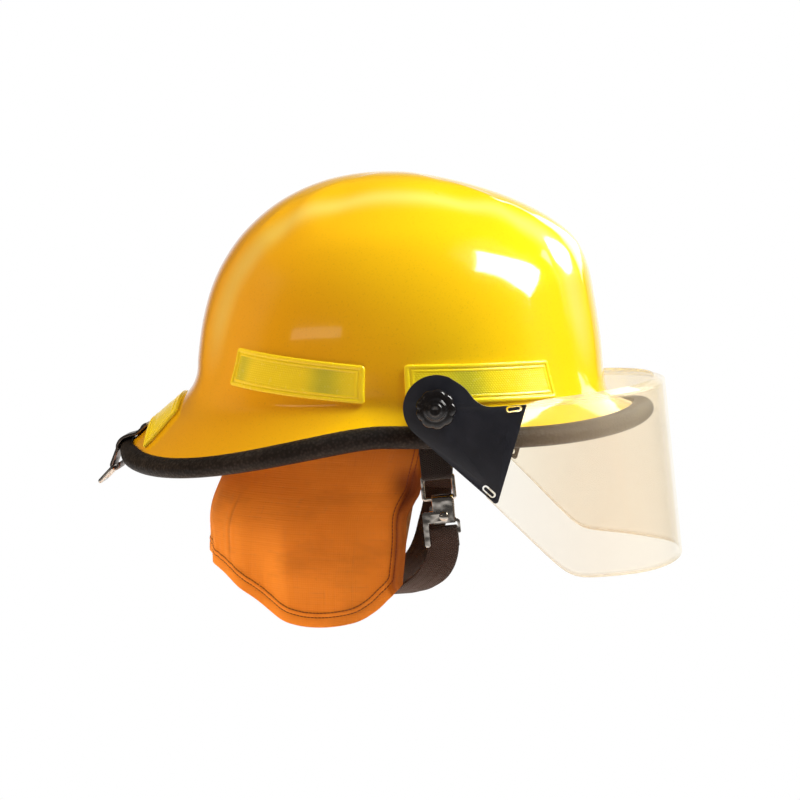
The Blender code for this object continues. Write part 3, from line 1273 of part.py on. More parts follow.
PIVOT_HOLE = cylinder_cutter("pivot_hole", (PIVOT_X, 0.0, PIVOT_Z), (0.0, 1.0, 0.0), BOLT_RADIUS + FIT_GAP,
                             4 * BRACKET_Y)
SPACER_HOLE = cylinder_cutter("spacer_hole", (PIVOT_X, 0.0, PIVOT_Z), (0.0, 1.0, 0.0),
                              SPACER_RADIUS + FORM_GAP, 4 * BRACKET_Y)
RIVET_HOLE = cylinder_cutter("hanger_rivet_hole", HANGER_PLACE, HANGER_NORMAL, RIVET_RADIUS + FIT_GAP,
                             6 * SHELL_WALL, 18)

make_shell()
make_trim()
for cheek, cheek_sign in CHEEKS.items():
    make_side_strip("rear_strip_" + cheek, REAR_STRIP, cheek_sign < 0)
    make_side_strip("front_strip_" + cheek, FRONT_STRIP, cheek_sign < 0)
make_back_strip()
make_liner()
make_headband()
make_crown_straps(make_clips())
make_ratchet()
make_curtain()
SHIELD_AXIS = pivot_empty("shield_axis", (PIVOT_X, 0.0, PIVOT_Z))
make_brackets(SHIELD_AXIS)
make_lens(SHIELD_AXIS)
make_pivots()
RIGHT_FRAME = CheekFrame("right")
LEFT_FRAME = CheekFrame("left")
make_upper_strap("right", RIGHT_FRAME)
make_upper_strap("left", LEFT_FRAME)
make_chin_strap(RIGHT_FRAME, LEFT_FRAME, make_snap(RIGHT_FRAME))
make_hanger()
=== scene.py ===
# Dresses the firefighter helmet frame: smooth shell, trim, strips, curtain, shield, straps and hardware.
import math

import bmesh
import bpy
import numpy as np
from mathutils import Matrix, Vector
from mathutils.bvhtree import BVHTree


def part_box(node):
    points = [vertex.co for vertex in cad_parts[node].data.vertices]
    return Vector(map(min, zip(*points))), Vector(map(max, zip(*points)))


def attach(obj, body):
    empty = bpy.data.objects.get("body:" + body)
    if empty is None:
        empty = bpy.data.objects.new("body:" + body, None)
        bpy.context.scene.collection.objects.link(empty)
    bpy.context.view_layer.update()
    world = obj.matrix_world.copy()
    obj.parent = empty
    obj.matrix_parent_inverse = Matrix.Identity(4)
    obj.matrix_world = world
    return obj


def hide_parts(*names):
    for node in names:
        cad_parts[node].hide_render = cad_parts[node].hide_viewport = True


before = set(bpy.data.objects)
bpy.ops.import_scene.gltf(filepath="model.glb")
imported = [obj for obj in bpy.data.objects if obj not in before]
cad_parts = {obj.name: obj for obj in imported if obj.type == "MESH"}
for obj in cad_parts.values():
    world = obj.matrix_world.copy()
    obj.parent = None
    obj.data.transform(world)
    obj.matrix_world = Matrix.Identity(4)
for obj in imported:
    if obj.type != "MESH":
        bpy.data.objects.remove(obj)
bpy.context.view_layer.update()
mm = 0.001  # shapes are worked out in millimetres
clearance = 0.3  # between pieces that fit together
cheeks = {"right": -1.0, "left": 1.0}
dressing = bpy.data.collections.new("helmetDressing")
bpy.context.scene.collection.children.link(dressing)
print("frame loaded:", len(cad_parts), "nodes")


def smoothStep(low, high, value):
    share = np.clip((np.asarray(value, float) - low) / (high - low), 0.0, 1.0)
    return share * share * (3.0 - 2.0 * share)


def unit(arrows):
    arrows = np.asarray(arrows, float)
    return arrows / np.maximum(np.linalg.norm(arrows, axis=-1, keepdims=True), 1e-12)


def paired(a, b):
    return np.broadcast_arrays(np.asarray(a, float), np.asarray(b, float))


def catmull(a, b, c, d, share):  # centripetal curve between b and c
    first = np.sqrt(np.maximum(np.linalg.norm(b - a, axis=-1, keepdims=True), 1e-6))
    second = first + np.sqrt(np.maximum(np.linalg.norm(c - b, axis=-1, keepdims=True), 1e-6))
    third = second + np.sqrt(np.maximum(np.linalg.norm(d - c, axis=-1, keepdims=True), 1e-6))
    place = first + (second - first) * share
    ab = (a * (first - place) + b * place) / first
    bc = (b * (second - place) + c * (place - first)) / (second - first)
    cd = (c * (third - place) + d * (place - second)) / (third - second)
    abc = (ab * (second - place) + bc * place) / second
    bcd = (bc * (third - place) + cd * (place - first)) / (third - first)
    return (abc * (second - place) + bcd * (place - first)) / (second - first)


def smoothRoute(points, count):
    points = np.asarray(points, float)
    ends = np.vstack((2 * points[:1] - points[1:2], points, 2 * points[-1:] - points[-2:-1]))
    places = np.linspace(0.0, len(points) - 1.0, count)
    k = np.minimum(places.astype(int), len(points) - 2)
    return catmull(ends[k], ends[k + 1], ends[k + 2], ends[k + 3], (places - k)[:, None])


def routeLengths(points):
    return np.concatenate(((0.0,), np.cumsum(np.linalg.norm(np.diff(points, axis=0), axis=1))))


def evenRoute(points, step):
    points = np.asarray(points, float)
    lengths = routeLengths(points)
    marks = np.linspace(0.0, lengths[-1], max(int(round(lengths[-1] / step)), 1) + 1)
    return np.stack([np.interp(marks, lengths, points[:, axis]) for axis in range(3)], axis=1)


def valueAt(table, key):  # smooth curve through (key, value) pairs
    keys, values = np.array(table, float).T
    slopes = np.gradient(values, keys)
    slopes[1:-1] = (values[2:] - values[:-2]) / (keys[2:] - keys[:-2])
    key = np.clip(key, keys[0], keys[-1])
    k = np.clip(np.searchsorted(keys, key), 1, len(keys) - 1)
    span = keys[k] - keys[k - 1]
    share = (key - keys[k - 1]) / span
    bend = share * (1.0 - share) * span
    rise = (values[k] - values[k - 1]) * share * share * (3.0 - 2.0 * share)
    return values[k - 1] + rise + bend * (slopes[k - 1] * (1.0 - share) - slopes[k] * share)


def bisect(low, high, shape, tooFar):
    low, high = np.full(shape, float(low)), np.full(shape, float(high))
    for halving in range(26):
        middle = (low + high) / 2
        far = tooFar(middle)
        high = np.where(far, middle, high)
        low = np.where(far, low, middle)
    return (low + high) / 2


def arc(centre, radius, start, end, count):
    angles = np.radians(np.linspace(start, end, count))
    return np.stack((centre[0] + radius * np.cos(angles), centre[1] + radius * np.sin(angles)), axis=1)


def roundedLoop(corners, radius, count=6):  # flat outline, corners counter-clockwise
    points = []
    corners = [Vector(corner) for corner in corners]
    for i, corner in enumerate(corners):
        back = (corners[i - 1] - corner).normalized()
        ahead = (corners[(i + 1) % len(corners)] - corner).normalized()
        half = back.angle(ahead) / 2
        centre = corner + (back + ahead).normalized() * (radius / math.sin(half))
        first = corner + back * (radius / math.tan(half)) - centre
        last = corner + ahead * (radius / math.tan(half)) - centre
        for step in range(count):
            points.append(tuple(centre + first.slerp(last, step / (count - 1))))
    return points


def roundRoute(route, radius, count=6):  # breaks the corners of a route
    points = [Vector(point) for point in route]
    rounded = [tuple(points[0])]
    for before, corner, after in zip(points, points[1:], points[2:]):
        back, ahead = before - corner, after - corner
        cut = min(radius, back.length * 0.45, ahead.length * 0.45)
        first, last = corner + back.normalized() * cut, corner + ahead.normalized() * cut
        for step in range(count):
            share = step / (count - 1)
            rounded.append(tuple(first.lerp(corner, share).lerp(corner.lerp(last, share), share)))
    return rounded + [tuple(points[-1])]


def bell(value, middle, wide):
    return np.exp(-((value - middle) / wide) ** 2)


def stripSection(width, thick, corner, count=4):  # rounded rectangle across a strap
    a, b = width / 2, thick / 2
    return np.array(roundedLoop([(-a, -b), (a, -b), (a, b), (-a, b)], corner, count))


# the shell's skin: a stack of ovals from the crown to the brim edge
shellForm = {
    "wall": 3.0,
    "crownX": -3.6,
    "crownZ": 159.0,
    "front": [(36.6, 153.0), (72.0, 142.0), (96.0, 130.0), (110.5, 118.0), (118.5, 102.0), (123.0, 81.0),
              (128.5, 54.0), (133.5, 33.0), (138.5, 20.5), (146.0, 15.5), (155.0, 12.5), (164.6, 10.5)],
    "side": [(38.0, 153.0), (66.0, 140.0), (86.0, 123.0), (97.5, 105.0), (104.5, 86.0), (109.0, 64.0),
             (111.5, 44.0), (113.0, 30.4), (114.5, 18.8), (117.0, 11.3), (120.3, 4.9), (124.0, -1.2)],
    "drawnIn": {6: 0.5, 7: 1.8, 8: 3.6, 9: 5.0, 10: 3.8, 11: 1.6},  # side wall of the rear half
    "drawnFade": (0.16, -0.06),
    "rear": [(43.8, 154.6), (74.5, 141.5), (97.0, 123.0), (110.0, 105.5), (118.5, 88.0), (124.5, 66.0),
             (129.0, 44.0), (133.0, 31.0), (141.0, 20.0), (156.0, 7.5), (171.0, -6.0), (186.0, -19.0)],
    "root": 8,
    "edge": 12,
    "fullTop": 2.0,
    "fullRoot": 2.22,
    "fullFrontEdge": 2.35,
    "fullRearEdge": 1.85,
    "frontDroop": 3.3,
    "rearDroop": 15.8,
    "droopRound": 0.25,
    "ridgeHigh": 7.0,
    "ridgeTop": 45.0,
    "ridgeFoot": 60.0,
    "ridgeNarrow": 13.0,  # less width at the front
    "narrowOver": (0.0, 80.0),
    "ridgeCentreZ": 45.0,
    "ridgeFade": (6.0, 9.5),
    "crest": 54.0,  # painted highlight line along the ridge's shoulder
    "crestHighlightWide": 5.5,
    "crestHighlightFade": (25.0, 75.0),
    "lean": (8.9, 9.8, 12.0),  # ovals between which the rear brim's shading turns up
    "leanHigh": 0.5,
    "columns": 256,
    "rows": 120,
}


def ridgeSide(points):  # distance from the middle line, counted as if the ridge kept one width
    narrow = shellForm["ridgeNarrow"] * smoothStep(*shellForm["narrowOver"], points[..., 0])
    return np.abs(points[..., 1]) + narrow


def domeStation(k, phi, ridge):
    form = shellForm
    root, edge = form["root"], form["edge"]
    if k < 0:
        return domeStation(-k, phi + np.pi, ridge)
    if k > edge:
        return 2 * domeStation(edge, phi, ridge) - domeStation(2 * edge - k, phi, ridge)
    if k == 0:
        points = np.tile((form["crownX"], 0.0, form["crownZ"]), (len(phi), 1))
    else:
        c, s = np.cos(phi), np.sin(phi)
        front = c >= 0
        endX = np.where(front, form["front"][k - 1][0], form["rear"][k - 1][0])
        endZ = np.where(front, form["front"][k - 1][1], form["rear"][k - 1][1])
        sideY, sideZ = form["side"][k - 1]
        full = form["fullTop"] + (form["fullRoot"] - form["fullTop"]) * min(k / root, 1.0)
        brim = max(k - root, 0) / (edge - root)
        full = full + (np.where(front, form["fullFrontEdge"], form["fullRearEdge"]) - full) * brim
        sideY = sideY - form["drawnIn"].get(k, 0.0) * smoothStep(*form["drawnFade"], c)
        around = form["droopRound"]
        wave = np.sqrt(np.sin(2 * phi) ** 2 + around ** 2) - around
        wave = wave / (math.sqrt(1.0 + around ** 2) - around)
        sag = np.where(front, form["frontDroop"], form["rearDroop"]) * wave * smoothStep(root, edge, k)
        points = np.stack((np.sign(c) * np.abs(c) ** (2 / full) * endX,
                           np.sign(s) * np.abs(s) ** (2 / full) * sideY,
                           sideZ + (endZ - sideZ) * c * c - sag), axis=1)
    if ridge:
        across = 1.0 - smoothStep(form["ridgeTop"], form["ridgeFoot"], ridgeSide(points))
        along = 1.0 - smoothStep(*form["ridgeFade"], k)
        outward = points * (1.0, 0.0, 1.0) - (form["crownX"], 0.0, form["ridgeCentreZ"])
        points = points + unit(outward) * (form["ridgeHigh"] * across * along)[:, None]
    return points


def dome(phi, place, ridge=True):  # phi goes round from the front, place runs down the ovals
    phi, place = paired(phi, place)
    flatPhi, flatPlace = phi.ravel(), place.ravel()
    span = np.clip(flatPlace.astype(int), 0, shellForm["edge"] - 1)
    spots = np.empty((flatPhi.size, 3))
    for k in np.unique(span):
        pick = span == k
        ovals = [domeStation(i, flatPhi[pick], ridge) for i in range(k - 1, k + 3)]
        spots[pick] = catmull(*ovals, (flatPlace[pick] - k)[:, None])
    return spots.reshape(phi.shape + (3,))


def domeNormal(phi, place, ridge=True):
    step = 0.01
    place = np.asarray(place, float)
    down = dome(phi, np.minimum(place + step, shellForm["edge"]), ridge) - dome(phi, place - step, ridge)
    around = dome(phi + step, place, ridge) - dome(phi - step, place, ridge)
    normal = unit(np.cross(down, around))
    return np.where((place < 0.05)[..., None], (0.0, 0.0, 1.0), normal)


def domeOff(phi, place, distance, ridge=True):
    phi, place = paired(phi, place)
    distance = np.asarray(distance, float)[..., None]
    return dome(phi, place, ridge) + domeNormal(phi, place, ridge) * distance


def placeAtHeight(phi, z):
    phi, z = paired(phi, z)
    return bisect(2.0, shellForm["edge"], phi.shape, lambda place: dome(phi, place, False)[..., 2] < z)


def phiAt(x, z):  # angle on the wearer's left where the plain wall at height z has this x
    x, z = np.atleast_1d(np.asarray(x, float)), np.atleast_1d(np.asarray(z, float))

    def behind(phi):
        return dome(phi, placeAtHeight(phi, z), False)[..., 0] < x

    return bisect(0.05, math.pi - 0.05, x.shape, behind)


def innerSpot(phi, z, inset):  # at height z on the surface that lies an inset inside the plain dome
    phi, z = paired(phi, z)

    def below(place):
        return domeOff(phi, place, -inset, False)[..., 2] < z

    spots = domeOff(phi, bisect(2.0, shellForm["root"], phi.shape, below), -inset, False)
    spots[..., 2] = z
    return spots


# turning points into pieces
def skin(name, rings, ringClosed=True, pathClosed=False, capped=False, uv=None):
    rings = np.asarray(rings, float)
    ids = np.arange(rings.shape[0] * rings.shape[1]).reshape(rings.shape[:2])
    cells = np.hstack((ids, ids[:, :1])) if ringClosed else ids
    cells = np.vstack((cells, cells[:1])) if pathClosed else cells

    def corners(cell):
        return np.stack((cell[:-1, :-1], cell[:-1, 1:], cell[1:, 1:], cell[1:, :-1]), axis=2)

    faces = corners(cells).reshape(-1, 4).tolist()
    if capped:
        faces += [ids[0][::-1].tolist(), ids[-1].tolist()]
    mesh = bpy.data.meshes.new(name)
    mesh.from_pydata((rings.reshape(-1, 3) * mm).tolist(), [], faces)
    if uv is not None:
        layer = mesh.uv_layers.new(name="surface")
        flat = corners(np.asarray(uv, float)).reshape(-1, 2)
        ends = np.zeros((len(layer.data) - len(flat), 2))
        layer.data.foreach_set("uv", np.vstack((flat, ends)).ravel())
    return tidyMesh(mesh)


def tidyMesh(mesh):
    shape = bmesh.new()
    shape.from_mesh(mesh)
    bmesh.ops.remove_doubles(shape, verts=shape.verts[:], dist=1e-6)
    bmesh.ops.recalc_face_normals(shape, faces=shape.faces[:])
    shape.to_mesh(mesh)
    shape.free()
    return mesh


def addPiece(name, mesh, body, look, standsFor=(), sharp=50.0):
    mesh.materials.clear()
    mesh.materials.append(look)
    mesh.shade_smooth()
    mesh.set_sharp_from_angle(angle=math.radians(sharp))
    piece = bpy.data.objects.new(name, mesh)
    dressing.objects.link(piece)
    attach(piece, body)
    if standsFor:
        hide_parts(*standsFor)
    return piece


def markField(mesh, spots, values, name):  # stores a value by the nearest grid point
    share = mesh.attributes.new(name, "FLOAT", "POINT")
    order = {tuple(spot): value for spot, value in zip(np.round(spots, 2).tolist(), values)}
    found = np.empty(len(mesh.vertices) * 3)
    mesh.vertices.foreach_get("co", found)
    keys = np.round(found.reshape(-1, 3) / mm, 2).tolist()
    share.data.foreach_set("value", [float(order.get(tuple(key), 0.0)) for key in keys])


def ribbonRings(route, across, section):
    route = np.asarray(route, float)
    ahead = unit(np.gradient(route, axis=0))
    across = np.broadcast_to(across, route.shape)
    side = unit(across - ahead * np.sum(across * ahead, axis=1, keepdims=True))
    up = np.cross(ahead, side)
    wide, thick = section[:, 0][None, :, None], section[:, 1][None, :, None]
    return route[:, None, :] + side[:, None, :] * wide + up[:, None, :] * thick


def strapMap(route, section):  # UV in millimetres: across the strap, then along it
    wide = np.append(section[:, 0], section[0, 0])
    return np.stack(np.broadcast_arrays(wide[None, :], routeLengths(route)[:, None]), axis=2)


def strapMesh(name, route, across, section):
    return skin(name, ribbonRings(route, across, section), capped=True, uv=strapMap(route, section))


def axisTurn(direction):
    return np.array(Vector(direction).to_track_quat("Z", "Y").to_matrix())


def turnedMesh(name, profile, centre, direction, steps=48, lobes=0):
    # profile rows are (radius, height) or (radius, height, scallop)
    profile = np.array([(*row, 0.0)[:3] for row in profile])
    angles = np.linspace(0.0, 2 * np.pi, steps, endpoint=False)
    scallop = 2.0 * np.abs(np.cos(lobes / 2 * angles)) ** 0.6 - 1.0
    radius = profile[:, :1] + profile[:, 2:] * scallop[None, :]
    radius = np.where(profile[:, :1] < 1e-6, 0.0, radius)
    height = np.broadcast_to(profile[:, 1:2], radius.shape)
    spots = np.stack((radius * np.cos(angles), radius * np.sin(angles), height), axis=2)
    return skin(name, np.asarray(centre) + spots @ axisTurn(direction).T)


def wireMesh(name, points, radius, normal, sides=16):  # closed flat loop of round wire
    points = np.asarray(points, float)
    ahead = unit(np.roll(points, -1, axis=0) - np.roll(points, 1, axis=0))
    normal = np.asarray(normal, float)
    outward = np.cross(ahead, normal)
    angles = np.linspace(0.0, 2 * np.pi, sides, endpoint=False)[None, :, None]
    rings = points[:, None, :] + radius * (np.cos(angles) * normal + np.sin(angles) * outward[:, None, :])
    return skin(name, rings, pathClosed=True)


def evaluated(item):  # plain mesh of an object with its modifiers, which is then removed
    dressing.objects.link(item)
    graph = bpy.context.evaluated_depsgraph_get()
    mesh = bpy.data.meshes.new_from_object(item.evaluated_get(graph))
    bpy.data.objects.remove(item, do_unlink=True)
    return mesh


def plateMesh(name, outlines, thick, matrix, edge, segments=3):
    curve = bpy.data.curves.new(name, "CURVE")
    curve.dimensions = "2D"
    curve.fill_mode = "BOTH"
    curve.extrude = thick / 2 * mm
    for outline in outlines:
        spline = curve.splines.new("POLY")
        spline.points.add(len(outline) - 1)
        for knot, point in zip(spline.points, outline):
            knot.co = (point[0] * mm, point[1] * mm, 0.0, 1.0)
        spline.use_cyclic_u = True
    guide = bpy.data.objects.new(name + "Guide", curve)
    flat = tidyMesh(evaluated(guide))
    item = bpy.data.objects.new(name + "Plate", flat)
    bevel = item.modifiers.new("edge", "BEVEL")
    bevel.width = edge * mm
    bevel.segments = segments
    bevel.limit_method = "ANGLE"
    bevel.angle_limit = math.radians(50.0)
    mesh = evaluated(item)
    mesh.transform(matrix)
    return mesh


def cutHole(mesh, centre, direction, radius, length, sides=64):
    tool = turnedMesh("holeTool", [(0.0, -length / 2), (radius, -length / 2), (radius, length / 2),
                                   (0.0, length / 2)], centre, direction, sides)
    cutter = bpy.data.objects.new("holeTool", tool)
    dressing.objects.link(cutter)
    item = bpy.data.objects.new("holed", mesh)
    boolean = item.modifiers.new("hole", "BOOLEAN")
    boolean.operation = "DIFFERENCE"
    boolean.solver = "EXACT"
    boolean.object = cutter
    holed = evaluated(item)
    bpy.data.objects.remove(cutter, do_unlink=True)
    return holed


# finishes
def addNode(tree, kind, values=None, **fields):
    node = tree.nodes.new(kind)
    for field, value in fields.items():
        setattr(node, field, value)
    for socket, value in (values or {}).items():
        if isinstance(value, bpy.types.NodeSocket):
            tree.links.new(value, node.inputs[socket])
        else:
            node.inputs[socket].default_value = value
    return node


def mathOut(tree, operation, a, b=0.0, c=0.0):
    return addNode(tree, "ShaderNodeMath", {0: a, 1: b, 2: c}, operation=operation).outputs[0]


def timesOut(tree, a, b):
    return mathOut(tree, "MULTIPLY", a, b)


def plusOut(tree, a, b):
    return mathOut(tree, "ADD", a, b)


def rangeOut(tree, value, given, wanted):  # a stretch of values carried over to another
    sockets = {"Value": value, 1: given[0], 2: given[1], 3: wanted[0], 4: wanted[1]}
    return addNode(tree, "ShaderNodeMapRange", sockets).outputs[0]


def axesOut(tree, coords):
    return addNode(tree, "ShaderNodeSeparateXYZ", {0: coords}).outputs


def stretchOut(tree, coords, scale):
    return addNode(tree, "ShaderNodeMapping", {"Vector": coords, "Scale": scale}).outputs[0]


def attributeOut(tree, name):
    return addNode(tree, "ShaderNodeAttribute", attribute_name=name).outputs["Fac"]


def uvOut(tree):  # the piece's own map, in millimetres
    return addNode(tree, "ShaderNodeTexCoord").outputs["UV"]


def noiseOut(tree, coords, scale, detail=4.0, roughness=0.55):
    values = {"Vector": coords, "Scale": scale, "Detail": detail, "Roughness": roughness}
    return addNode(tree, "ShaderNodeTexNoise", values).outputs["Fac"]


def cellOut(tree, coords, scale):
    return addNode(tree, "ShaderNodeTexVoronoi", {"Vector": coords, "Scale": scale}).outputs["Distance"]


def rampOut(tree, factor, stops):
    node = addNode(tree, "ShaderNodeValToRGB", {"Fac": factor})
    while len(node.color_ramp.elements) < len(stops):
        node.color_ramp.elements.new(0.5)
    for element, (place, colour) in zip(node.color_ramp.elements, stops):
        element.position = place
        element.color = (*colour, 1.0)
    return node.outputs["Color"]


def greyRamp(tree, factor, stops):
    return rampOut(tree, factor, [(place, (level, level, level)) for place, level in stops])


def mixColour(tree, factor, first, second, blend="MIX"):
    node = addNode(tree, "ShaderNodeMix", data_type="RGBA", blend_type=blend)
    for socket, value in ((node.inputs[0], factor), (node.inputs[6], first), (node.inputs[7], second)):
        if isinstance(value, bpy.types.NodeSocket):
            tree.links.new(value, socket)
        elif isinstance(value, tuple):
            socket.default_value = (*value, 1.0)
        else:
            socket.default_value = value
    return node.outputs[2]


def shaded(tree, colour, level, share=1.0):
    return mixColour(tree, share, colour, level, "MULTIPLY")


def mixShader(tree, share, first, second):
    return addNode(tree, "ShaderNodeMixShader", {0: share, 1: first, 2: second}).outputs[0]


def bumpOut(tree, height, strength, distance, normal=None):
    values = {"Height": height, "Strength": strength, "Distance": distance}
    if normal is not None:
        values["Normal"] = normal
    return addNode(tree, "ShaderNodeBump", values).outputs["Normal"]


def waveOut(tree, coordinate, pitch):  # 0 to 1 over each pitch
    turn = timesOut(tree, coordinate, 2 * math.pi / pitch)
    return mathOut(tree, "MULTIPLY_ADD", mathOut(tree, "SINE", turn), 0.5, 0.5)


def newLook(name, **constants):
    look = bpy.data.materials.new(name)
    look.use_nodes = True
    tree = look.node_tree
    shader = tree.nodes["Principled BSDF"]
    for socket, value in constants.items():
        shader.inputs[socket.replace("_", " ")].default_value = value
    return look, tree, shader, addNode(tree, "ShaderNodeTexCoord").outputs["Object"]


def feed(tree, shader, **sockets):
    for socket, value in sockets.items():
        tree.links.new(value, shader.inputs[socket.replace("_", " ")])


def makeShellPaint():  # deeper orange towards the rear as painted shade, with a painted highlight line along the ridge
    look, tree, shader, spot = newLook("shellPaint", IOR=1.5, Coat_Weight=0.7, Coat_Roughness=0.02)
    broad = noiseOut(tree, spot, 9.0, 2.0)
    # painted shade: the paint runs from deeper orange at the rear to yellow at the front
    ahead = rangeOut(tree, axesOut(tree, spot)["X"], (-0.1, 0.09), (0.0, 0.8))
    mixed = mathOut(tree, "MULTIPLY_ADD", broad, 0.2, ahead)
    colour = rampOut(tree, mixed, [(0.05, (0.94, 0.535, 0.006)), (0.95, (0.97, 0.71, 0.004))])
    specks = greyRamp(tree, noiseOut(tree, spot, 900.0, 2.0), [(0.30, 0.90), (0.42, 1.0)])
    colour = shaded(tree, colour, specks)
    # painted highlight: paler yellow along the ridge's shoulder
    crest = timesOut(tree, attributeOut(tree, "crestHighlightShare"), 0.9)
    colour = mixColour(tree, crest, colour, (0.99, 0.79, 0.14))
    scuffs = noiseOut(tree, spot, 60.0, 8.0, 0.7)
    rough = greyRamp(tree, scuffs, [(0.35, 0.10), (0.62, 0.15), (0.75, 0.24)])
    peel = bumpOut(tree, noiseOut(tree, spot, 420.0, 2.0), 0.05, 0.0004)
    feed(tree, shader, Base_Color=colour, Roughness=rough, Normal=peel)
    return look


def makeTrimRubber():
    look, tree, shader, spot = newLook("trimRubber", IOR=1.5, Specular_IOR_Level=0.18)
    pebbles = cellOut(tree, spot, 520.0)
    grain = noiseOut(tree, spot, 1400.0, 3.0)
    worn = noiseOut(tree, spot, 30.0, 4.0)
    base = rampOut(tree, worn, [(0.35, (0.015, 0.0145, 0.0145)), (0.65, (0.028, 0.027, 0.0265))])
    tops = greyRamp(tree, pebbles, [(0.15, 1.7), (0.6, 0.6)])
    rough = greyRamp(tree, grain, [(0.3, 0.34), (0.7, 0.52)])
    height = mathOut(tree, "MULTIPLY_ADD", pebbles, -1.0, timesOut(tree, grain, 0.25))
    feed(tree, shader, Base_Color=shaded(tree, base, tops, 0.75), Roughness=rough,
         Normal=bumpOut(tree, height, 0.55, 0.0006))
    return look


def makeStripLime():  # moulded reflective plastic with rows of small facets and a painted glow
    # the constant emission is a painted glow that keeps the lime plastic bright in shade
    look, tree, shader, spot = newLook("stripLime", IOR=1.5, Coat_Weight=0.25, Coat_Roughness=0.05,
                                       Emission_Color=(0.80, 0.72, 0.03, 1.0), Emission_Strength=0.2)
    axes = axesOut(tree, uvOut(tree))
    slope = timesOut(tree, axes["Y"], 0.577)
    lean = plusOut(tree, axes["X"], slope)
    back = mathOut(tree, "SUBTRACT", axes["X"], slope)
    level = timesOut(tree, axes["Y"], 1.155)
    facets = plusOut(tree, waveOut(tree, lean, 1.6), waveOut(tree, back, 1.6))
    facets = plusOut(tree, facets, waveOut(tree, level, 1.6))
    depth = attributeOut(tree, "fieldShare")
    facets = timesOut(tree, facets, depth)
    patches = noiseOut(tree, spot, 24.0, 3.0, 0.6)
    # darker patches at set places along each strip
    darkPatch = mathOut(tree, "MULTIPLY_ADD", mathOut(tree, "SUBTRACT", patches, 0.5), 0.5,
                   attributeOut(tree, "darkPatchShare"))
    field = rampOut(tree, darkPatch, [(0.05, (0.84, 0.715, 0.010)), (0.45, (0.62, 0.58, 0.020)),
                                 (1.0, (0.32, 0.36, 0.035))])
    field = shaded(tree, field, greyRamp(tree, facets, [(0.2, 0.9), (0.62, 1.02)]), 0.8)
    rim = rampOut(tree, patches, [(0.3, (0.86, 0.70, 0.010)), (0.7, (0.93, 0.76, 0.010))])
    rough = greyRamp(tree, noiseOut(tree, spot, 300.0), [(0.3, 0.14), (0.7, 0.30)])
    feed(tree, shader, Base_Color=mixColour(tree, depth, rim, field), Roughness=rough,
         Normal=bumpOut(tree, facets, 0.2, 0.0003))
    return look


def makeLinerFoam():
    look, tree, shader, spot = newLook("linerFoam")
    beads = cellOut(tree, spot, 260.0)
    colour = rampOut(tree, beads, [(0.1, (0.036, 0.036, 0.038)), (0.6, (0.012, 0.012, 0.013))])
    rough = greyRamp(tree, noiseOut(tree, spot, 120.0), [(0.3, 0.78), (0.7, 0.95)])
    height = timesOut(tree, beads, -1.0)
    feed(tree, shader, Base_Color=colour, Roughness=rough, Normal=bumpOut(tree, height, 0.5, 0.0008))
    return look


def makePlastic(name, dark, light, roughRange, grainScale, grainDepth, coat=0.0):
    look, tree, shader, spot = newLook(name, IOR=1.5, Coat_Weight=coat, Coat_Roughness=0.08)
    broad = noiseOut(tree, spot, 40.0, 5.0)
    grain = noiseOut(tree, spot, grainScale, 3.0)
    colour = rampOut(tree, broad, [(0.3, dark), (0.7, light)])
    rough = greyRamp(tree, noiseOut(tree, spot, 150.0, 6.0), [(0.3, roughRange[0]), (0.7, roughRange[1])])
    feed(tree, shader, Base_Color=colour, Roughness=rough,
         Normal=bumpOut(tree, grain, grainDepth, 0.0003))
    return look


def makeSweatCloth():
    look, tree, shader, spot = newLook("sweatCloth", Sheen_Weight=0.3, Sheen_Roughness=0.5)
    axes = axesOut(tree, uvOut(tree))
    loops = timesOut(tree, waveOut(tree, axes["X"], 1.1), waveOut(tree, axes["Y"], 1.5))
    fuzz = noiseOut(tree, spot, 700.0, 4.0)
    height = plusOut(tree, loops, timesOut(tree, fuzz, 0.6))
    colour = rampOut(tree, height, [(0.2, (0.020, 0.018, 0.017)), (1.0, (0.060, 0.054, 0.049))])
    rough = greyRamp(tree, fuzz, [(0.2, 0.85), (0.8, 1.0)])
    feed(tree, shader, Base_Color=colour, Roughness=rough, Normal=bumpOut(tree, height, 0.6, 0.0006))
    return look


def makeWebbing(name, dark, light):  # chevron twill, with its UV across and along the strap
    look, tree, shader, spot = newLook(name, Sheen_Weight=0.12, Sheen_Roughness=0.4)
    axes = axesOut(tree, uvOut(tree))
    folded = mathOut(tree, "PINGPONG", plusOut(tree, axes["X"], 40.0), 2.4)
    twill = waveOut(tree, plusOut(tree, axes["Y"], timesOut(tree, folded, 0.8)), 1.5)
    cords = waveOut(tree, axes["X"], 1.2)
    fray = noiseOut(tree, spot, 800.0, 4.0)
    height = plusOut(tree, timesOut(tree, twill, 0.7), timesOut(tree, cords, 0.3))
    height = plusOut(tree, height, timesOut(tree, fray, 0.3))
    colour = rampOut(tree, height, [(0.25, dark), (1.0, light)])
    dust = greyRamp(tree, noiseOut(tree, spot, 45.0, 5.0), [(0.3, 0.8), (0.7, 1.15)])
    rough = greyRamp(tree, fray, [(0.3, 0.62), (0.7, 0.85)])
    feed(tree, shader, Base_Color=shaded(tree, colour, dust), Roughness=rough,
         Normal=bumpOut(tree, height, 0.7, 0.0005))
    return look


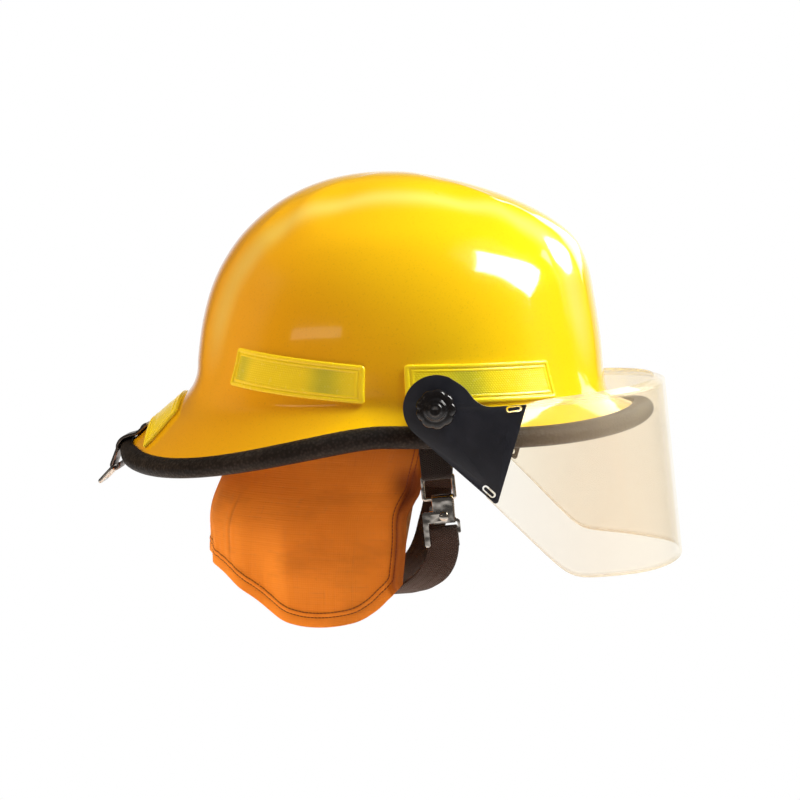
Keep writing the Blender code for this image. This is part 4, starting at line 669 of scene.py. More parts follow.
def makeCurtainCloth():  # UV round and down the cloth, with hem distance and painted shade as attributes
    look, tree, shader, spot = newLook("curtainCloth", Sheen_Weight=0.22, Sheen_Roughness=0.45,
                                       Sheen_Tint=(1.0, 0.72, 0.42, 1.0))
    uv = uvOut(tree)
    axes = axesOut(tree, uv)
    slub = noiseOut(tree, stretchOut(tree, uv, (0.6, 0.035, 1.0)), 1.0, 3.0)
    pick = noiseOut(tree, stretchOut(tree, uv, (0.035, 0.6, 1.0)), 1.0, 3.0)
    warp = waveOut(tree, axes["X"], 1.45)
    weft = waveOut(tree, axes["Y"], 1.45)
    weave = plusOut(tree, timesOut(tree, warp, 0.25), timesOut(tree, weft, 0.25))
    threads = plusOut(tree, slub, pick)
    height = plusOut(tree, weave, threads)
    broad = noiseOut(tree, spot, 14.0, 3.0)
    colour = rampOut(tree, broad, [(0.3, (0.73, 0.268, 0.028)), (0.7, (0.85, 0.335, 0.036))])
    colour = shaded(tree, colour, greyRamp(tree, height, [(0.7, 0.80), (1.7, 1.14)]))
    # darker along both stitch rows, the outer one also a painted shadow at the hem's fold, and a painted
    # lighter band on the raised hem
    sewn = greyRamp(tree, timesOut(tree, attributeOut(tree, "hemDistance"), 0.05),
                    [(0.0, 1.08), (0.285, 0.98), (0.315, 0.55), (0.345, 0.98), (0.43, 0.98), (0.46, 0.5),
                     (0.5, 0.95), (0.6, 1.0)])
    colour = shaded(tree, colour, sewn)
    # darker blotches: dirt, and painted shade of soft wrinkles
    dirtAndWrinkleShade = noiseOut(tree, stretchOut(tree, uv, (0.012, 0.03, 1.0)), 1.0, 5.0, 0.6)
    colour = shaded(tree, colour, greyRamp(tree, dirtAndWrinkleShade, [(0.34, 0.84), (0.5, 1.0)]))
    # painted shade from the cloth's own attribute, in dark red
    colour = mixColour(tree, attributeOut(tree, "paintedShade"), colour, (0.13, 0.026, 0.009))
    rough = greyRamp(tree, threads, [(0.7, 0.72), (1.3, 0.9)])
    feed(tree, shader, Base_Color=colour, Roughness=rough, Normal=bumpOut(tree, height, 0.35, 0.0005))
    return look


def makeShieldClear():  # clear plastic with a pale amber tint and a haze that grows to the front
    look, tree, shader, spot = newLook("shieldClear", IOR=1.55, Specular_IOR_Level=0.8, Coat_Weight=1.0,
                                       Coat_Roughness=0.03)
    streaks = noiseOut(tree, spot, 35.0, 5.0)
    tint = rampOut(tree, streaks, [(0.3, (0.96, 0.885, 0.70)), (0.7, (0.98, 0.915, 0.745))])
    rough = greyRamp(tree, noiseOut(tree, spot, 90.0, 6.0, 0.7), [(0.4, 0.08), (0.75, 0.16)])
    # painted highlight: the lens's edges are paler cream and hazier
    rim = attributeOut(tree, "rimGlintShare")
    feed(tree, shader, Base_Color=mixColour(tree, rim, tint, (0.92, 0.85, 0.58)), Roughness=rough)
    ahead = rangeOut(tree, axesOut(tree, spot)["X"], (0.07, 0.14), (0.04, 0.17))
    haze = mathOut(tree, "MULTIPLY_ADD", mathOut(tree, "SUBTRACT", streaks, 0.5), 0.04, ahead)
    haze = mathOut(tree, "MULTIPLY_ADD", rim, 0.25, haze)
    through = addNode(tree, "ShaderNodeBsdfTransparent", {"Color": (0.998, 0.982, 0.935, 1.0)})
    clear = mixShader(tree, haze, through.outputs[0], shader.outputs[0])
    tree.links.new(clear, tree.nodes["Material Output"].inputs["Surface"])
    return look


def makeSteel(name, dark, light, roughRange):
    look, tree, shader, spot = newLook(name, Metallic=1.0)
    broad = noiseOut(tree, spot, 60.0, 4.0)
    scratches = noiseOut(tree, stretchOut(tree, spot, (1.0, 1.0, 0.08)), 1600.0, 3.0)
    colour = rampOut(tree, broad, [(0.3, dark), (0.7, light)])
    worn = plusOut(tree, timesOut(tree, scratches, 0.5), timesOut(tree, broad, 0.5))
    rough = greyRamp(tree, worn, [(0.3, roughRange[0]), (0.7, roughRange[1])])
    dents = bumpOut(tree, noiseOut(tree, spot, 150.0, 1.0), 0.55, 0.0012)
    feed(tree, shader, Base_Color=colour, Roughness=rough,
         Normal=bumpOut(tree, scratches, 0.03, 0.0001, dents))
    return look


def makeThread(name, dark, light):
    look, tree, shader, spot = newLook(name, Sheen_Weight=0.1)
    twist = noiseOut(tree, spot, 1500.0, 2.0)
    colour = rampOut(tree, twist, [(0.3, dark), (0.7, light)])
    rough = greyRamp(tree, twist, [(0.3, 0.6), (0.7, 0.8)])
    feed(tree, shader, Base_Color=colour, Roughness=rough)
    return look


shellPaint = makeShellPaint()
trimRubber = makeTrimRubber()
stripLime = makeStripLime()
linerFoam = makeLinerFoam()
nylon = makePlastic("suspensionNylon", (0.016, 0.016, 0.017), (0.028, 0.028, 0.030), (0.38, 0.52),
                    1200.0, 0.12)
sweatCloth = makeSweatCloth()
strapWebbing = makeWebbing("strapWebbing", (0.013, 0.008, 0.007), (0.066, 0.040, 0.033))
# the upper straps take a darker copy of the strap webbing as painted shade under the brim
shadedCheekWebbing = makeWebbing("shadedCheekWebbing", (0.004, 0.003, 0.003), (0.022, 0.014, 0.012))
crownWebbing = makeWebbing("crownWebbing", (0.014, 0.014, 0.015), (0.060, 0.058, 0.058))
curtainCloth = makeCurtainCloth()
shieldClear = makeShieldClear()
bracketBlack = makePlastic("bracketBlack", (0.009, 0.013, 0.023), (0.016, 0.022, 0.036), (0.34, 0.5),
                           900.0, 0.3, 0.3)
knobBlack = makePlastic("knobBlack", (0.006, 0.006, 0.007), (0.011, 0.011, 0.012), (0.10, 0.20),
                        700.0, 0.04, 0.4)
washerRubber = makePlastic("washerRubber", (0.012, 0.012, 0.012), (0.025, 0.024, 0.023), (0.6, 0.8),
                           900.0, 0.3)
brightSteel = makeSteel("brightSteel", (0.62, 0.56, 0.49), (0.78, 0.72, 0.65), (0.10, 0.22))
hangerSteel = makeSteel("hangerSteel", (0.20, 0.165, 0.14), (0.30, 0.25, 0.21), (0.26, 0.40))
curtainThread = makeThread("curtainThread", (0.12, 0.030, 0.008), (0.20, 0.055, 0.012))
darkThread = makeThread("darkThread", (0.018, 0.016, 0.015), (0.040, 0.036, 0.033))
print("finishes made")


# shell
def makeShell():
    form = shellForm
    reach = np.linspace(0.0, form["edge"], 600)
    lengths = (routeLengths(dome(np.pi / 2, reach)) + routeLengths(dome(np.pi, reach))) / 2
    places = np.interp(np.linspace(0.0, lengths[-1], form["rows"]), lengths, reach)
    angles = np.linspace(0.0, 2 * np.pi, form["columns"], endpoint=False)
    outer = dome(angles[None, :], places[:, None])
    inner = domeOff(angles[None, :], places[:, None], -form["wall"])
    mesh = skin("outerShell", np.concatenate((outer, inner[::-1])))
    # painted highlight line along the ridge's shoulder, fading towards the brim
    crest = bell(ridgeSide(outer), form["crest"], form["crestHighlightWide"])
    crest = crest * smoothStep(*form["crestHighlightFade"], outer[..., 2])
    markField(mesh, outer.reshape(-1, 3), crest.ravel(), "crestHighlightShare")
    addPiece("outerShell", mesh, "helmet", shellPaint, ["outer_shell"])
    low, full, end = form["lean"]
    share = smoothStep(low, full, places) * (1.0 - smoothStep(full + 1.0, end, places))
    share = form["leanHigh"] * share[:, None] * smoothStep(0.1, -0.1, np.cos(angles))[None, :]
    leanNormals(mesh, outer.reshape(-1, 3), share.ravel())


def leanNormals(mesh, spots, values):  # turns the shading up where the brim runs out from the wall
    markField(mesh, spots, values, "leanShare")
    share = np.empty(len(mesh.vertices))
    mesh.attributes["leanShare"].data.foreach_get("value", share)
    way = np.empty(len(mesh.vertices) * 3)
    mesh.vertex_normals.foreach_get("vector", way)
    way = unit(way.reshape(-1, 3) + share[:, None] * (0.0, 0.0, 1.0))
    mesh.normals_split_custom_set_from_vertices(way.tolist())


# the trim is stouter away from the hanger, which is at half a turn
edgeTrim = {"length": 13.0, "thick": 10.5, "overhang": 4.0, "lip": 1.1, "gap": 0.3, "swell": 1.18,
            "swellFrom": (0.12, 0.3), "rings": 320, "round": 28}


def trimFrame(phi):
    edge = dome(phi, shellForm["edge"])
    outward = unit(edge - dome(phi, shellForm["edge"] - 1.2))
    around = dome(phi + 0.01, shellForm["edge"]) - dome(phi - 0.01, shellForm["edge"])
    normal = unit(np.cross(outward, around))
    reach = edgeTrim["overhang"] - edgeTrim["length"] / 2
    return edge - normal * (shellForm["wall"] / 2) + outward * reach, outward, normal


def makeTrim():
    form = edgeTrim
    slot = shellForm["wall"] / 2 + form["gap"]
    mouth = math.asin((slot + form["lip"]) / (form["thick"] / 2))
    angles = (math.pi - mouth) * np.linspace(1.0, -1.0, form["round"])
    spots = np.stack((form["length"] / 2 * np.cos(angles), form["thick"] / 2 * np.sin(angles)), axis=1)
    bottom = form["length"] / 2 - form["overhang"] + form["gap"]
    inner = spots[0, 0]
    phi = np.linspace(0.0, 2 * np.pi, form["rings"], endpoint=False)
    middle, outward, normal = trimFrame(phi)
    swell = 1.0 + (form["swell"] - 1.0) * smoothStep(*form["swellFrom"], np.abs(phi - np.pi))[:, None]
    walls = (len(phi), 4)
    along = np.hstack((spots[:, 0] * swell, np.broadcast_to((inner, bottom, bottom, inner), walls)))
    high = np.hstack((spots[:, 1] * swell, np.broadcast_to((-slot, -slot, slot, slot), walls)))
    rings = middle[:, None, :] + outward[:, None, :] * along[:, :, None]
    rings = rings + normal[:, None, :] * high[:, :, None]
    addPiece("edgeTrim", skin("edgeTrim", rings, pathClosed=True), "helmet", trimRubber,
             ["edge_trim"])


# reflective strips: raised rim, groove, raised line and a lower field
stripForm = {
    "height": 24.5,
    "gap": 0.6,
    "corner": 2.2,
    "rise": [(0.0, 0.55), (0.35, 1.25), (0.8, 1.5), (2.0, 1.5), (2.5, 1.15), (2.8, 0.75), (3.3, 0.75),
             (3.6, 1.2), (4.0, 1.35), (4.5, 1.3), (4.9, 1.0), (30.0, 1.0)],
    "edgeSteps": [0.0, 0.35, 0.8, 1.4, 2.0, 2.5, 2.8, 3.3, 3.6, 4.0, 4.5, 4.9],
    "fieldSteps": (5.6, 5.3, 0.75),
    "fieldStart": (4.4, 5.0),
    "rear": [(-100.0, 40.7), (-13.5, 31.9)],
    "front": [(12.5, 32.9), (103.0, 33.9)],
    "spacerHole": (34.0, 19.4, 9.6),
    "holeY": 115.0,
    "holeLong": 60.0,
    # darker patches at set places along each strip: place, width and level
    "darkPatch": {"rear": [(8.0, 6.0, 0.6), (66.0, 9.0, 0.8)], "front": [(33.0, 11.0, 0.75)],
             "back": [(38.0, 12.0, 0.2)]},
}
backStrip = {"half": 38.0, "highX": -144.0, "lowX": -167.0, "gap": 0.9}


def cornerDepth(s, t, length, height, corner):  # distance in from the edge of a rounded rectangle
    a = np.abs(s - length / 2) - (length / 2 - corner)
    b = np.abs(t - height / 2) - (height / 2 - corner)
    outside = np.hypot(np.maximum(a, 0.0), np.maximum(b, 0.0))
    return corner - outside - np.minimum(np.maximum(a, b), 0.0)


def stripGrid(length, height):
    form = stripForm
    fine = np.array(form["edgeSteps"])
    first, last, step = form["fieldSteps"]
    s = np.concatenate((fine, np.arange(first, length - last, step), length - fine[::-1]))
    t = np.concatenate((fine, np.arange(first, height - last, step), height - fine[::-1]))
    s, t = np.meshgrid(s, t, indexing="ij")
    near = np.clip(form["corner"] - np.minimum(t, height - t), 0.0, form["corner"])
    inset = form["corner"] - np.sqrt(form["corner"] ** 2 - near ** 2)
    s = inset + s * (length - 2 * inset) / length
    return s, t, cornerDepth(s, t, length, height, form["corner"])


def stripMesh(name, kind, phi, place, depth, gap, uv):
    keys, values = np.array(stripForm["rise"]).T
    top = domeOff(phi, place, gap + np.interp(depth, keys, values), False)
    base = domeOff(phi, place, gap, False)
    rings = np.concatenate((top, base[:, ::-1]), axis=1)
    around = np.concatenate((uv, uv[:, ::-1], uv[:, :1]), axis=1)
    mesh = skin(name, rings, capped=True, uv=around)
    spots = np.concatenate((top, base), axis=1).reshape(-1, 3)
    field = smoothStep(*stripForm["fieldStart"], depth)
    darkPatch = sum(level * bell(uv[..., 0], at, wide) for at, wide, level in stripForm["darkPatch"][kind])
    for title, share in (("fieldShare", field), ("darkPatchShare", darkPatch)):
        markField(mesh, spots, np.concatenate((share, share), axis=1).ravel(), title)
    return mesh


def makeSideStrips(kind):
    form = stripForm
    (x0, z0), (x1, z1) = form[kind]
    phi0, phi1 = phiAt([x0, x1], [z0, z1])
    length, height = abs(x1 - x0), form["height"]
    s, t, depth = stripGrid(length, height)
    phi = phi0 + (phi1 - phi0) * s / length
    z = z0 + (z1 - z0) * s / length + height / 2 - t
    uv = np.stack((s, t), axis=2)
    for side, sign in cheeks.items():
        name = kind + "Strip" + side.capitalize()
        mesh = stripMesh(name, kind, phi, placeAtHeight(phi, z), depth, form["gap"], uv)
        if sign < 0:
            mesh.transform(Matrix.Scale(-1.0, 4, (0.0, 1.0, 0.0)))
            mesh.flip_normals()
        if kind == "front":
            x, zHole, radius = form["spacerHole"]
            centre = (x, sign * form["holeY"], zHole)
            mesh = cutHole(mesh, centre, (0.0, 1.0, 0.0), radius, form["holeLong"])
        addPiece(name, mesh, "helmet", stripLime, [kind + "_strip_" + side], sharp=70.0)


def makeBackStrip():
    form = backStrip
    length, height = 2 * form["half"], form["highX"] - form["lowX"]
    s, t, depth = stripGrid(length, height)
    y = np.abs(s - form["half"])
    x = form["highX"] - t

    def phiFor(place):
        return bisect(np.pi / 2, np.pi, y.shape, lambda phi: dome(phi, place, False)[..., 1] < y)

    place = bisect(shellForm["root"] - 1, shellForm["edge"], y.shape,
                   lambda place: dome(phiFor(place), place, False)[..., 0] < x)
    phi = phiFor(place)
    phi = np.where(s < form["half"], 2 * np.pi - phi, phi)
    mesh = stripMesh("backStrip", "back", phi, place, depth, form["gap"], np.stack((s, t), axis=2))
    addPiece("backStrip", mesh, "helmet", stripLime, ["back_strip"], sharp=70.0)


makeShell()
makeTrim()
makeSideStrips("rear")
makeSideStrips("front")
makeBackStrip()
print("shell, trim and strips made")

# liner and head suspension
linerForm = {"thick": 12.0, "gap": 0.8, "low": 7.7, "columns": 128, "rows": 44, "lipTurn": (30.0, 150.0),
             "lipDeep": 0.6}
linerInset = shellForm["wall"] + linerForm["gap"] + linerForm["thick"]
headForm = {"centreX": -18.0, "half": 78.0, "front": 115.0, "low": -2.0, "height": 32.0, "thick": 2.0,
            "halfTurn": 136.8, "gap": 0.6}
sweatForm = {"thick": 3.0, "height": 36.0, "halfTurn": 83.6, "crown": 1.6, "seam": 0.80, "seamDeep": 0.9,
             "seamWide": 0.07, "puff": 0.35, "puffPitch": 11.0, "puffHalf": 0.75, "threadSunk": 0.55}
clipForm = {"angles": {"front_left": 42.0, "front_right": -42.0, "rear_left": 112.0, "rear_right": -112.0},
            "width": 16.0, "thick": 2.4, "gap": 0.8, "top": 68.0, "bend": 54.0, "shoulder": 46.8,
            "foot": 12.0, "lap": (0.3, 0.95), "bendRound": 3.0}
crownForm = {"width": 15.0, "thick": 1.5, "top": 122.0, "stack": 3.2, "shoulder": 0.42, "bow": 15.0}


def makeLiner():
    form = linerForm
    angles = np.linspace(0.0, 2 * np.pi, form["columns"], endpoint=False)[None, :]
    places = np.linspace(0.0, form["low"], form["rows"])[:, None]
    start = shellForm["wall"] + form["gap"]
    outer = domeOff(angles, places, -start, False)
    inner = domeOff(angles, places, -linerInset, False)
    lip = []
    for turn in np.radians(np.linspace(*form["lipTurn"], 5)):
        share = (1.0 - math.cos(turn)) / 2
        low = outer[-1] * (1.0 - share) + inner[-1] * share
        lip.append(low - (0.0, 0.0, form["lipDeep"] * math.sin(turn)))
    rings = np.concatenate((outer, np.array(lip), inner[::-1]))
    addPiece("impactLiner", skin("impactLiner", rings), "helmet", linerFoam, ["impact_liner"])


def headSpot(angle, extra, z):
    form = headForm
    angle = np.asarray(angle, float)
    c, s = np.cos(angle), np.sin(angle)
    reach = np.where(c > 0, form["front"], form["half"])
    radius = 1.0 / np.hypot(c / reach, s / form["half"]) + extra
    return np.stack(np.broadcast_arrays(form["centreX"] + radius * c, radius * s, z), axis=-1)


def makeHeadband():
    form = headForm
    angles = np.radians(np.linspace(-form["halfTurn"], form["halfTurn"], 181))
    route = headSpot(angles, form["thick"] / 2, form["low"] + form["height"] / 2)
    band = strapMesh("headband", route, (0.0, 0.0, 1.0), stripSection(form["height"], form["thick"], 0.9))
    addPiece("headband", band, "helmet", nylon, ["headband"])


def makeSweatband():
    form, head = sweatForm, headForm
    angles = np.radians(np.linspace(-form["halfTurn"], form["halfTurn"], 241))
    route = headSpot(angles, -head["gap"] - form["thick"] / 2, head["low"] + head["height"] / 2)
    half, thick = form["height"] / 2, form["thick"] / 2
    spread = np.linspace(-1.0, 1.0, 25)
    crowned = thick * np.sqrt(1.0 - spread ** 4) + form["crown"] * (1.0 - spread ** 2) ** 0.7
    crowned = crowned - form["seamDeep"] * bell(np.abs(spread), form["seam"], form["seamWide"])
    plain = thick * np.sqrt(1.0 - spread ** 6)
    section = np.concatenate((np.stack((spread * half, -crowned), axis=1),
                              np.stack((spread[::-1] * half, plain[::-1]), axis=1)[1:-1]))
    turn = np.array([(point[0], -point[1]) for point in section])[::-1]
    rings = ribbonRings(route, (0.0, 0.0, 1.0), turn)
    inward = unit((head["centreX"], 0.0, 0.0) - route * (1.0, 1.0, 0.0))
    puffs = form["puff"] * np.sin(routeLengths(route) * 2 * np.pi / form["puffPitch"])
    facing = np.sign(np.sum((rings - route[:, None, :]) * inward[:, None, :], axis=2))
    crest = np.clip(1.0 - (turn[:, 0] / half / form["puffHalf"]) ** 2, 0.0, 1.0)
    rings = rings + inward[:, None, :] * (puffs[:, None] * crest[None, :] * (facing > 0))[:, :, None]
    band = addPiece("browPad", skin("browPad", rings, capped=True, uv=strapMap(route, turn)), "helmet",
                    sweatCloth, ["sweatband"])
    rows = []
    for row in (-form["seam"], form["seam"]):
        rise = form["thick"] + form["crown"] * (1.0 - row ** 2) ** 0.7 - form["threadSunk"]
        shift = -head["gap"] - rise
        rows.append(headSpot(angles[3:-3], shift, head["low"] + head["height"] / 2 + row * half))
    return rows


def reachTo(outline, start, direction):  # how far a level line from start goes before the liner's plan
    near, along = outline[:-1] - start, np.diff(outline, axis=0)
    turn = direction[0] * along[:, 1] - direction[1] * along[:, 0]
    reach = (near[:, 0] * along[:, 1] - near[:, 1] * along[:, 0]) / turn
    share = (near[:, 0] * direction[1] - near[:, 1] * direction[0]) / turn
    return reach[(share >= 0) & (share <= 1) & (reach > 0)].min()


def makeClips():
    form, head = clipForm, headForm
    hold = head["thick"] + head["gap"] + form["thick"] / 2
    under = form["thick"] / 2 + head["gap"] + crownForm["thick"] / 2
    ends = {}
    halfRound = np.linspace(0.0, np.pi, 65)
    plans = [innerSpot(halfRound, form[level], linerInset)[:, :2] for level in ("top", "bend")]
    for name, degrees in form["angles"].items():
        angle = math.radians(abs(degrees))
        spot = headSpot(angle, 0.0, 0.0)
        tangent = unit(headSpot(angle + 0.01, 0.0, 0.0) - headSpot(angle - 0.01, 0.0, 0.0))
        out = np.array((tangent[1], -tangent[0], 0.0))
        corners = [spot + tangent * (form["width"] * share) for share in (-0.5, 0.0, 0.5)]
        reaches = [min(reachTo(plan, corner[:2], out[:2]) for corner in corners) for plan in plans]
        high, bend = [reach - form["gap"] - form["thick"] / 2 for reach in reaches]
        levels = [(high, form["top"]), (bend, form["bend"]), (hold, form["shoulder"]), (hold, form["foot"])]
        lap = [(bend + (high - bend) * share, form["bend"] + (form["top"] - form["bend"]) * share)
               for share in form["lap"]]
        side = np.array((1.0, math.copysign(1.0, degrees), 1.0))
        route = np.array([(spot + out * reach + (0.0, 0.0, z)) * side for reach, z in levels])
        strap = np.array([(spot + out * (reach - under) + (0.0, 0.0, z)) * side for reach, z in lap])
        ends[name] = (strap, tangent * side)
        rounded = np.array(roundRoute(route, form["bendRound"]))
        title = "clip" + name.title().replace("_", "")
        mesh = strapMesh(title, rounded, tangent * side, stripSection(form["width"], form["thick"], 0.8))
        addPiece(title, mesh, "helmet", nylon, ["suspension_clip_" + name])
    return ends


def makeCrownStraps(ends):
    form = crownForm
    pairs = [("crownStrapLower", "crown_strap_lower", "front_left", "rear_right", 0.0),
             ("crownStrapUpper", "crown_strap_upper", "front_right", "rear_left", form["stack"])]
    for name, node, first, last, lift in pairs:
        (start, startSide), (finish, finishSide) = ends[first], ends[last]
        top = (start[1] + finish[1]) / 2
        top[2] = form["top"] + lift
        shoulders = []
        for end in (start[1], finish[1]):
            shoulder = end + (top - end) * form["shoulder"]
            shoulders.append(shoulder + (0.0, 0.0, form["bow"]))
        arch = smoothRoute([start[1], shoulders[0], top, shoulders[1], finish[1]], 90)
        route = np.vstack((start[:1], arch, finish[:1]))
        if startSide @ finishSide < 0:
            finishSide = -finishSide
        share = smoothStep(0.05, 0.95, np.linspace(0.0, 1.0, len(route)))[:, None]
        across = startSide * (1.0 - share) + finishSide * share
        mesh = strapMesh(name, route, across, stripSection(form["width"], form["thick"], 0.6))
        addPiece(name, mesh, "helmet", crownWebbing, [node])


makeLiner()
makeHeadband()
sweatRows = makeSweatband()
makeCrownStraps(makeClips())
print("liner and suspension made")

# ratchet at the nape: racks, covers and pinion stay as solids
ratchetForm = {"z": 14.0, "rackMid": 81.1, "start": 1.1, "base": 4.0, "depth": 6.5, "radius": 16.0,
               "shaft": 3.0, "lobes": 12}


def makeRatchetKnob():
    form = ratchetForm
    top = form["base"] + form["depth"]
    radius = form["radius"]
    rings = [(0.0, form["start"]), (form["shaft"], form["start"]), (form["shaft"], form["base"]),
             (radius - 2.0, form["base"], 0.4), (radius - 1.0, form["base"] + 0.5, 0.55),
             (radius - 0.6, form["base"] + 1.5, 0.6), (radius - 0.8, top - 2.6, 0.6),
             (radius - 1.3, top - 1.3, 0.6), (radius - 2.0, top - 0.5, 0.5), (radius - 3.0, top - 0.05, 0.35),
             (radius - 4.5, top - 0.1, 0.1), (radius - 5.5, top - 0.8), (radius - 7.0, top - 1.0),
             (0.0, top - 0.9)]
    centre = (headForm["centreX"] - form["rackMid"], 0.0, form["z"])
    mesh = turnedMesh("ratchetKnob", rings, centre, (-1.0, 0.0, 0.0), 144, form["lobes"])
    addPiece("ratchetKnob", mesh, "ratchet", knobBlack, ["ratchet_knob"], sharp=60.0)


makeRatchetKnob()
print("ratchet knob made")

# neck and ear curtain
curtainForm = {
    "thick": 2.0,
    "hemExtra": 0.8,
    "hemWidth": 10.0,
    "stitchLines": (6.3, 9.2),
    "top": 46.0,
    "gap": 0.9,
    "reach": 117.0,
    "half": 115.0,
    "bend": 36.0,
    "drop": 130.0,
    "frontEdge": [(-94.0, 7.5), (-83.0, 8.6), (-68.0, 9.7), (-60.0, 9.6), (-53.0, 10.4), (-46.0, 14.0),
                  (-38.0, 19.5), (0.0, 28.0), (46.0, 30.0)],
    "hemline": [(0.0, -97.0), (0.06, -115.5), (0.124, -123.2), (0.258, -126.6), (0.378, -122.3),
                (0.53, -108.5), (0.62, -101.0), (0.7, -95.8), (0.8, -91.8), (0.9, -89.6), (1.0, -89.0)],
    "leftTuck": 14.0,
    "sideFlare": 4.0,
    "rearFlare": 14.5,
    "flareFall": (0.43, 0.82),
    "fold": 2.4,
    "folds": 9.0,
    "groove": (0.5, 0.75),  # depth and width of the sunk stitch lines
    "puckers": [(0.5, 9.5, 0.0), (0.35, 6.1, 1.3)],  # depth, pitch and shift along the hem
    "puckerHigh": 0.45,
    "puckerFade": 60.0,
    "roughOver": (-90.0, -150.0),  # the hem is less even at the nape
    "seamY": 59.0,
    "seamX": -40.0,
    "seamOver": [(-40.0, -55.0), (-92.0, -80.0)],  # heights where it fades in and out
    "seamWide": (3.2, 4.6),
    "seamLine": 0.9,
    "seamRise": 0.5,
    "seamSink": 0.7,
    "roll": [(1.3, 3.4, 2.3), (-2.2, 7.6, 2.0)],  # height, place and width across the front edge
    "rollOver": (-14.0, -34.0),
    "dent": {"x": 11.0, "z": -32.0, "wide": 8.0, "tall": 11.0, "deep": 3.2, "shade": 0.6},
    "sag": [(1.3, 0.055, 0.021), (0.9, 0.031, -0.047)],  # depth, turn by height and turn by length
    "sagFrom": (6.0, 40.0),
    "flatAbove": (30.0, 0.0),
    "edgeRound": 1.1,
    "hemThick": 1.4,
    # painted shade levels for the cloth
    "edgeShade": (0.58, 5.6, 7.4),  # level, and the distances from the front edge where it fades
    "creaseShade": (0.5, 7.2, 1.3),  # level, place and width
    "sideShade": (0.10, 7.0, 9.0),  # level, start and width
    "brimShade": (0.60, -44.0, 10.0),  # level, and the heights it grows between
    "seamShade": 0.3,
    "shadeMost": 0.9,
    "edgeBand": 0.034,  # shares of the cloth with closer columns and rows
    "hemBand": 0.935,
    "fineSteps": 13,
    "columns": 120,
    "rows": 64,
}


def curtainSpot(share, drop):
    form = curtainForm
    share, drop = paired(share, drop)
    fromFront = 1.0 - np.abs(share)
    hem = valueAt(form["hemline"], fromFront)
    z = form["top"] + (hem - form["top"]) * drop
    ahead = (valueAt(form["frontEdge"], z) - np.where(share < 0, form["leftTuck"], 0.0)) / form["reach"]
    start = np.arccos(np.copysign(np.abs(ahead) ** (shellForm["fullRoot"] / 2), ahead))
    phi = start + (np.pi - start) * fromFront
    held = innerSpot(phi, np.maximum(z, form["bend"]), linerInset + form["gap"])
    fall = np.maximum(form["bend"] - z, 0.0) / form["drop"]
    flare = form["sideFlare"] + (form["rearFlare"] - form["sideFlare"]) * np.cos(phi) ** 2
    fold = form["fold"] * np.sin(form["folds"] * (phi - np.pi)) * smoothStep(0.35, 1.0, fall)
    outward = unit(np.stack((held[..., 0] / form["reach"] ** 2, held[..., 1] / form["half"] ** 2, 0.0 * z),
                            axis=-1))
    reach = flare * smoothStep(*form["flareFall"], fall) - np.sqrt(fold ** 2 + 0.4) + 0.63 + fold * 0.5
    point = held + outward * reach[..., None]
    point[..., 2] = z
    side = np.where(share < 0, -1.0, 1.0)
    mirror = np.stack((np.ones_like(z), -side, np.ones_like(z)), axis=-1)
    return point * mirror, outward * mirror


def hemBoundary(points):  # front edge, hem and the other front edge as one route
    return np.vstack((points[0, :-1], points[:, -1], points[-1, -2::-1]))


def nearestDistance(points, route):
    route = evenRoute(route, 0.5)
    flat = points.reshape(-1, 3)
    near = np.empty(len(flat))
    for i in range(0, len(flat), 2000):
        gaps = flat[i:i + 2000, None, :] - route[None, :, :]
        near[i:i + 2000] = np.sqrt((gaps ** 2).sum(axis=2).min(axis=1))
    return near.reshape(points.shape[:-1])


def curtainGrid():
    form = curtainForm
    fine = np.linspace(0.0, form["edgeBand"], form["fineSteps"])
    fromFront = np.concatenate((fine, np.linspace(form["edgeBand"], 1.0, form["columns"])[1:]))
    share = np.concatenate((fromFront - 1.0, (1.0 - fromFront[:-1])[::-1]))
    low = np.linspace(form["hemBand"], 1.0, form["fineSteps"])[1:]
    drop = np.concatenate((np.linspace(0.0, form["hemBand"], form["rows"]), low))
    return share[:, None], drop[None, :]


